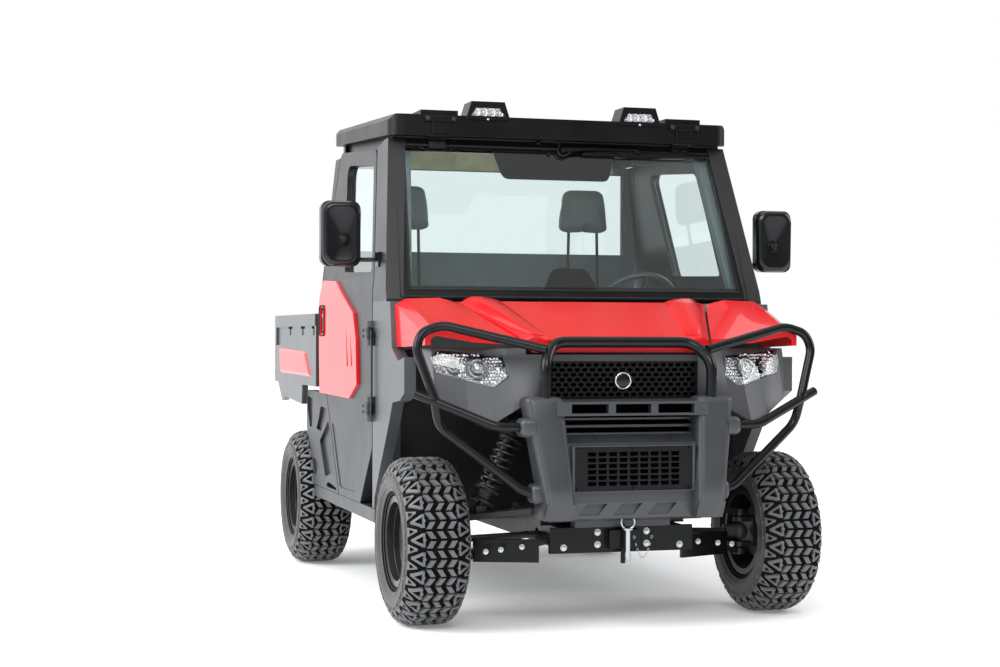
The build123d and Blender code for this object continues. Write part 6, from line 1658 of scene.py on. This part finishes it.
@dataclass
class BumperPosts:
    """Round-edged covers of the bumper's two posts."""

    # height, middle across and along, width, depth, and how far the ring is drawn in
    rings: tuple[tuple[float, float, float, float, float, float], ...] = (
        (0.418, 0.296, -1.476, 0.106, 0.108, 0.012), (0.424, 0.296, -1.478, 0.106, 0.112, 0.000),
        (0.481, 0.296, -1.492, 0.106, 0.140, -0.008), (0.560, 0.3045, -1.482, 0.1134, 0.1318, -0.008),
        (0.760, 0.3264, -1.456, 0.132, 0.1112, -0.008), (0.850, 0.3362, -1.444, 0.1404, 0.1018, -0.008),
        (0.864, 0.3377, -1.4424, 0.1418, 0.1003, -0.002), (0.870, 0.338, -1.442, 0.142, 0.100, 0.012),
        (0.872, 0.338, -1.442, 0.142, 0.100, 0.034))
    corner: float = 0.028
    least_corner: float = 0.010

    def build(self, shop: Workshop) -> None:
        """Make the covers.

        Args:
            shop: the workshop.
        """
        covers = Mould()
        for side in Side:
            rings = []
            for z, x, y, width, depth, inset in self.rings:
                corner = max(self.corner - inset / 3, self.least_corner)
                rings.append([(side.value * (x + u), y + v, z)
                              for u, v in rounded(width - inset, depth - inset, corner)])
            covers.loft(rings)
        shop.piece("bumper_post_covers", covers, NOSE, smooth=40)


@dataclass
class NoseOpenings:
    """Near-black sheets in the grille's holes, behind the bar's slots and in the louvre's recess: painted shade
    where these openings fall into shadow.
    """

    # the two sides, lower and upper edge, face
    sheets: tuple[tuple[float, float, float, float, float], ...] = (
        (-0.3005, 0.3005, 0.8645, 0.9995, -1.3855), (-0.2295, 0.2295, 0.5275, 0.6855, -1.5095),
        (-0.241, -0.099, 0.812, 0.844, -1.4835), (-0.069, 0.069, 0.812, 0.844, -1.4835),
        (0.099, 0.241, 0.812, 0.844, -1.4835), (-0.257, 0.257, 0.737, 0.801, -1.4135))
    thick: float = 0.0008

    def build(self, shop: Workshop) -> None:
        """Make the sheets.

        Args:
            shop: the workshop.
        """
        backs = Mould()
        # Each sheet is painted shade inside one opening.
        for low_x, high_x, low_z, high_z, face in self.sheets:
            backs.block((low_x, face, low_z), (high_x, face + self.thick, high_z))
        shop.piece("nose_opening_backs", backs, OPENING_SHADE)


# ------------------------------------------------------------------ roof, cab lining and rear
@dataclass
class RoofRibs:
    """Shallow lengthwise ribs pressed in the roof."""

    middles: tuple[float, ...] = (-0.48, -0.16, 0.16, 0.48)
    half: float = 0.036
    rise: float = 0.0045
    start: float = -0.520
    end: float = 0.400
    sections: int = 9
    end_rise: float = 0.0003
    # across and up a rib, as shares of its half width and its rise
    profile: Outline = ((-1.0, -0.6), (-0.75, 1.0), (0.75, 1.0), (1.0, -0.6))

    def build(self, shop: Workshop) -> None:
        """Make the ribs.

        Args:
            shop: the workshop.
        """
        skin = Panel(shop.frame["nodes"]["roof"])
        ribs = Mould()
        last = self.sections - 1
        for middle in self.middles:
            rings = []
            for i in range(self.sections):
                y = self.start + (self.end - self.start) * i / last
                rise = self.end_rise if i in (0, last) else self.rise
                foot = skin.height(middle, y)
                rings.append([(middle + u * self.half, y, foot + v * rise) for u, v in self.profile])
            ribs.loft(rings)
        shop.piece("roof_ribs", ribs, ROOF, bevel=0.0012)


@dataclass
class CabLining:
    """Cloth-covered drop of the headlining above the rear window."""

    half: float = 0.612
    foot: float = 1.868
    top: float = 1.961
    face: float = 0.3990
    thick: float = 0.0012

    def build(self, shop: Workshop) -> None:
        """Make the drop.

        Args:
            shop: the workshop.
        """
        drop = Mould()
        drop.block((-self.half, self.face - self.thick, self.foot), (self.half, self.face, self.top))
        shop.piece("headlining_drop", drop, HEADLINING)


@dataclass
class RearLamps:
    """Lenses of the two rear lamps."""

    x: float = 0.545
    z: float = 0.680
    face: float = 1.512
    width: float = 0.138
    height: float = 0.066
    # each lens: place across from the lamp's middle, and share of the width
    red: tuple[float, float] = (0.024, 0.64)
    clear: tuple[float, float] = (-0.046, 0.32)
    # how far out each ring is, and how far its outline is drawn in
    rings: Outline = ((-0.001, 0.0), (0.006, 0.001), (0.009, 0.006), (0.010, 0.014))
    corner: float = 0.010

    def build(self, shop: Workshop) -> None:
        """Make the lenses.

        Args:
            shop: the workshop.
        """
        red, clear = Mould(), Mould()
        for side in Side:
            for mould, (shift, share) in ((red, self.red), (clear, self.clear)):
                mould.loft([[(side.value * (self.x + shift + u), self.face + rise, self.z + v) for u, v in
                             rounded(self.width * share - inset, self.height - inset, self.corner - inset / 3)]
                            for rise, inset in self.rings])
        shop.piece("tail_lamp_lenses", red, TAIL_RED, smooth=50)
        shop.piece("reverse_lamp_lenses", clear, PEARL, smooth=50)


@dataclass
class BedPressings:
    """Ribs of the bed's floor and walls, pressings of the tailgate, and its latches."""

    floor: float = 0.885
    rib_half: float = 0.024
    ribs: int = 11
    wall: float = 0.780
    gate_face: float = 1.575
    # across and up a rib, as shares of its half width and its rise
    section: Outline = ((-1.0, -0.5), (-0.7, 1.0), (0.7, 1.0), (1.0, -0.5))
    rib_reach: float = 0.66
    # place along the bed and rise of each ring of a floor rib
    floor_rings: Outline = ((0.515, 0.0004), (0.535, 0.0035), (1.500, 0.0035), (1.520, 0.0004))
    wall_ribs: tuple[float, ...] = (0.65, 0.93, 1.21, 1.45)
    wall_rib_half: float = 0.030
    # height and rise of each ring of a wall rib
    wall_rings: Outline = ((0.905, 0.0004), (0.920, 0.004), (1.110, 0.004), (1.125, 0.0004))
    pressings: tuple[float, ...] = (-0.52, 0.0, 0.52)
    pressing_z: float = 1.030
    latch_x: float = 0.700
    latch_z: float = 1.160

    def build(self, shop: Workshop) -> None:
        """Make the ribs, pressings and latches.

        Args:
            shop: the workshop.
        """
        ribs = Mould()
        for i in range(self.ribs):
            x = -self.rib_reach + 2 * self.rib_reach * i / (self.ribs - 1)
            ribs.loft([[(x + u * self.rib_half, y, self.floor + v * rise)
                        for u, v in self.section] for y, rise in self.floor_rings])
        for side in Side:
            for y in self.wall_ribs:
                ribs.loft([[(side.value * (self.wall - v * rise), y + u * self.wall_rib_half, z)
                            for u, v in self.section] for z, rise in self.wall_rings])
        shop.piece("bed_ribs", ribs, GREY, "bed", bevel=0.001)
        gate = Mould()
        for x in self.pressings:
            gate.loft([[(x + u, self.gate_face + rise, self.pressing_z + v)
                        for u, v in rounded(0.450 - inset, 0.190 - inset, 0.026)]
                       for rise, inset in ((-0.001, 0.0), (0.0025, 0.004), (0.0038, 0.012))])
        shop.piece("tailgate_pressings", gate, GREY, "tailgate", smooth=40)
        latches = Mould()
        for side in Side:
            latches.loft([[(side.value * self.latch_x + u, self.gate_face + rise, self.latch_z + v)
                           for u, v in rounded(0.110 - inset, 0.032 - inset, 0.010)]
                          for rise, inset in ((-0.001, 0.0), (0.0035, 0.001), (0.0045, 0.006))])
        shop.piece("tailgate_latches", latches, SHELL, "tailgate", smooth=40)


@dataclass
class HingePost:
    """Black strip that carries one door's hinges, ahead of the door."""

    side: Side
    face: float = 0.812
    proud: float = 0.0016
    sunk: float = 0.004

    def build(self, shop: Workshop) -> None:
        """Make the strip.

        Args:
            shop: the workshop.
        """
        strip, sign = Mould(), self.side.value
        low, high = sorted((sign * (self.face - self.sunk), sign * (self.face + self.proud)))
        strip.block((low, -0.702, 0.768), (high, -0.664, 1.120))
        shop.piece(f"hinge_post_{self.side.word}", strip, BLACK, bevel=0.0006)


# ------------------------------------------------------------------ plain boss of the grille
@dataclass
class GrilleBoss:
    """Bright ring and domed face of the plain round boss on the honeycomb."""

    z: float = 0.928
    face: float = -1.398
    radius: float = 0.034
    wire: float = 0.0030
    wire_inset: float = 0.004
    # radius of each ring of the dome, and how far out it is
    dome: Outline = ((0.0285, -0.001), (0.0285, 0.0016), (0.024, 0.0034), (0.015, 0.0046), (0.005, 0.0050))

    def build(self, shop: Workshop) -> None:
        """Make the pieces.

        Args:
            shop: the workshop.
        """
        ring = Mould()
        section = [(self.wire * math.cos(a), self.radius - self.wire_inset + self.wire * math.sin(a))
                   for a in turns(10)]
        ring.spin((0, self.face - 0.0006, self.z), (0, -1, 0), section, 64)
        shop.piece("boss_ring", ring, CHROME, smooth=60)
        dome = Mould()
        dome.loft([[(r * math.cos(a), self.face - d, self.z + r * math.sin(a)) for a in turns(48)]
                   for r, d in self.dome])
        shop.piece("boss_dome", dome, SHELL, smooth=60)


# ------------------------------------------------------------------ lamps
@dataclass
class HeadlampParts:
    """Bright facets on one headlamp's housing, round its reflectors."""

    side: Side
    cell: float = 0.0125
    proud: float = 0.005
    sunk: float = 0.001
    tip: float = 0.3
    probe: float = 0.006
    seed: int = 7
    # place across, height, radius and depth of each reflector
    bowls: tuple[tuple[float, ...], ...] = ((0.544, 0.975, 0.033, 0.016), (0.628, 0.981, 0.0195, 0.010))
    bowl_wall: float = 0.003

    def build(self, shop: Workshop) -> None:
        """Make the facets.

        Args:
            shop: the workshop.
        """
        housing = Panel(shop.frame["nodes"]["headlamps"])
        square = ((-1, -1), (1, -1), (1, 1), (-1, 1))
        low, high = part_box("headlamps")
        chance = random.Random(self.seed)
        facets, bowls = Mould(), Mould()
        sign = self.side.value
        rows = int((high.z - low.z) / self.cell)
        columns = int(high.x / self.cell)
        for row in range(rows):
            for column in range(columns):
                x = (column + (row % 2) / 2) * self.cell
                z = low.z + (row + 0.5) * self.cell
                reach = [housing.ahead(sign * (x + u * self.probe), z + v * self.probe)
                         for u, v in ((0, 0), (1, 0), (-1, 0), (0, 1), (0, -1))]
                if any(hit is None for hit in reach):
                    continue
                if max(hit.y for hit in reach) - min(hit.y for hit in reach) > self.probe:
                    continue
                y = reach[0].y
                half = self.cell * 0.48
                tip_x, tip_z = (chance.uniform(-0.3, 0.3) * self.cell for _ in range(2))
                foot = [(sign * (x + u * half), y + self.sunk, z + v * half) for u, v in square]
                head = [(sign * (x + tip_x + u * half * self.tip), y - self.proud * chance.uniform(0.4, 1.0),
                         z + tip_z + v * half * self.tip) for u, v in square]
                facets.loft((foot, head))
        shop.piece(f"headlamp_facets_{self.side.word}", facets, CHROME, smooth=5)
        for x, z, radius, depth in self.bowls:
            face, back, throat = housing.ahead(sign * x, z).y, depth + self.bowl_wall, radius * 0.42
            bowls.spin((sign * x, face, z), (0, 1, 0),
                       [(0.002, radius), (0.002, radius - 0.002), (depth * 0.5, radius * 0.8),
                        (depth, radius * 0.5), (depth, throat), (back, throat), (back, radius)], 32)
            bowls.spin((sign * x, face + self.bowl_wall, z), (0, 1, 0), ball_profile(radius * 0.38, 10), 24)
        shop.piece(f"headlamp_bowls_{self.side.word}", bowls, CHROME, smooth=30)


@dataclass
class RoofLampParts:
    """Bulb units behind one roof lamp's lens."""

    side: Side
    low_x: float = 0.262
    high_x: float = 0.397
    z: float = 2.007
    y: float = -0.6958
    units: int = 4
    # section of a cup: distance out and radius
    cup: Outline = ((0.0, 0.0155), (0.0042, 0.0162), (0.0042, 0.0150), (0.0008, 0.0100))
    # corners of the sheet behind the cups, across and up
    back: Outline = ((0.259, 1.9915), (0.400, 1.9915), (0.379, 2.0245), (0.280, 2.0245))

    def build(self, shop: Workshop) -> None:
        """Make the row of small reflectors.

        Args:
            shop: the workshop.
        """
        cups = Mould()
        for i in range(self.units):
            x = self.side.value * (self.low_x + (self.high_x - self.low_x) * (i + 0.5) / self.units)
            cups.spin((x, self.y, self.z), (0, -1, 0), self.cup, 20)
            cups.disc((x, self.y, self.z), (0, -1, 0), 0.0055, 0.0040, 16, 0.0040)
        shop.piece(f"roof_lamp_cups_{self.side.word}", cups, CHROME, smooth=40)
        back = Mould()
        back.prism([(self.side.value * x, self.y + 0.0008, z) for x, z in self.back], (0, 0.0006, 0))
        shop.piece(f"roof_lamp_back_{self.side.word}", back, PEARL)
        foot = Mould()
        foot.spin((self.side.value * 0.330, -0.702, 1.978), (0, 1, 0), ball_profile(0.006, 8), 12)
        shop.piece(f"roof_lamp_screw_{self.side.word}", foot, ZINC)


# ------------------------------------------------------------------ stage
@dataclass
class Studio:
    """The pale floor, the soft lamps and the camera."""

    camera_place: Point = (-2.415, -7.889, 1.095)
    yaw: float = 16.57
    pitch: float = 0.08
    roll: float = 0.15
    lens: float = 66.13
    floor_half: float = 60.0
    floor_glow: float = 0.18
    sky: float = 0.60
    sky_colour: Colour = (0.955, 0.98, 1.0)
    sky_lean: Point = (-0.70, 0.45, 0.66)
    sky_least: float = 0.10

    def build(self) -> None:
        """Make the floor, world, lamps and camera."""
        self._floor()
        self._world()
        self._lamps()
        self._camera()

    def _floor(self) -> None:
        """Make the floor: pale, and white to the camera where nothing shades it."""
        data = bpy.data.meshes.new("floor")
        h = self.floor_half
        data.from_pydata([(-h, -h, 0), (h, -h, 0), (h, h, 0), (-h, h, 0)], [], [(0, 1, 2, 3)])
        floor = bpy.data.objects.new("floor", data)
        bpy.context.scene.collection.objects.link(floor)
        material, _ = new_material("pale_floor", {
            "Base Color": (0.97, 0.97, 0.97, 1), "Roughness": 0.9, "Specular IOR Level": 0.0,
            "Emission Color": (1, 1, 1, 1), "Emission Strength": self.floor_glow})
        data.materials.append(material)

    def _world(self) -> None:
        """Make the plain white surroundings, which light the left side and the top more than the front."""
        world = bpy.data.worlds.new("studio")
        bpy.context.scene.world = world
        world.use_nodes = True
        tree = world.node_tree
        light = tree.nodes["Background"]
        light.inputs["Color"].default_value = (*self.sky_colour, 1)
        place = add_node(tree, "TexCoord")
        lean = add_node(tree, "VectorMath", {1: self.sky_lean}, operation="DOT_PRODUCT")
        level = add_node(tree, "Math", {1: self.sky}, operation="ADD")
        least = add_node(tree, "Math", {1: self.sky_least}, operation="MAXIMUM")
        seen = add_node(tree, "Background", {"Color": (1, 1, 1, 1), "Strength": 1.0})
        path = add_node(tree, "LightPath")
        either = add_node(tree, "Math", operation="MAXIMUM")
        mix = add_node(tree, "MixShader")
        join(tree, (place, "Generated", lean, 0), (lean, "Value", level, 0), (level, "Value", least, 0),
             (least, "Value", light, "Strength"), (path, "Is Camera Ray", either, 0),
             (path, "Is Transmission Ray", either, 1), (either, "Value", mix, "Fac"),
             (light, "Background", mix, 1), (seen, "Background", mix, 2),
             (mix, "Shader", tree.nodes["World Output"], "Surface"))

    def _lamps(self) -> None:
        """Make the large soft lamps."""
        # name, place, target, width, height, power
        rows = (("key", (-6.5, -1.5, 4.5), (0, 0, 0.9), 5.0, 4.0, 380.0),
                ("front", (-1.0, -7.5, 5.5), (0, -1.0, 0.9), 4.0, 2.5, 190.0),
                ("right", (6.5, -2.0, 4.0), (0, 0, 0.9), 4.0, 3.0, 150.0))
        for name, place, target, width, height, power in rows:
            data = bpy.data.lights.new(name, "AREA")
            data.shape = "RECTANGLE"
            data.size, data.size_y, data.energy = width, height, power
            lamp = bpy.data.objects.new(name, data)
            lamp.location = place
            lamp.rotation_mode = "QUATERNION"
            lamp.rotation_quaternion = (Vector(target) - Vector(place)).to_track_quat("-Z", "Y")
            bpy.context.scene.collection.objects.link(lamp)

    def _camera(self) -> None:
        """Make the camera."""
        data = bpy.data.cameras.new("camera")
        data.lens = self.lens
        data.sensor_width = 36.0
        data.clip_end = 500.0
        camera = bpy.data.objects.new("camera", data)
        yaw, pitch = math.radians(self.yaw), math.radians(self.pitch)
        ahead = Vector((math.sin(yaw) * math.cos(pitch), math.cos(yaw) * math.cos(pitch), math.sin(pitch)))
        camera.location = self.camera_place
        camera.rotation_mode = "QUATERNION"
        level = ahead.to_track_quat("-Z", "Y")
        camera.rotation_quaternion = level @ Matrix.Rotation(math.radians(self.roll), 4, "Z").to_quaternion()
        bpy.context.scene.collection.objects.link(camera)
        bpy.context.scene.camera = camera


def main() -> None:
    """Load the frame, build every sub-assembly and set the stage."""
    logging.basicConfig(level=logging.INFO, format="%(name)s: %(message)s")
    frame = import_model()
    shop = Workshop(frame)
    dress_nodes(shop)
    for axle, axle_y in AXLES.items():
        for side in Side:
            for wheel_part in (Tyre, WheelTrim, WheelNuts):
                wheel_part(axle, side).build(shop)
            CoilSpring(f"{axle}_{side.word}", side, axle_y).build(shop)
    for side in Side:
        for side_part in (Mirror, BonnetRidge, DoorFittings, HingePost, RoofLampParts, HeadlampParts):
            side_part(side).build(shop)
    for part in (*BOLT_ROWS, Windscreen(), TowPin(), GrilleBoss(), FrontGuard(), BumperPosts(), NoseOpenings(),
                 RoofRibs(), CabLining(), RearLamps(), BedPressings(), Seats()):
        part.build(shop)
    Studio().build()
    bpy.context.scene.view_settings.view_transform = "Standard"
    for made in shop.made:
        LOG.info("%s: %d faces", made.name, len(made.data.polygons))


if __name__ == "__main__":
    main()
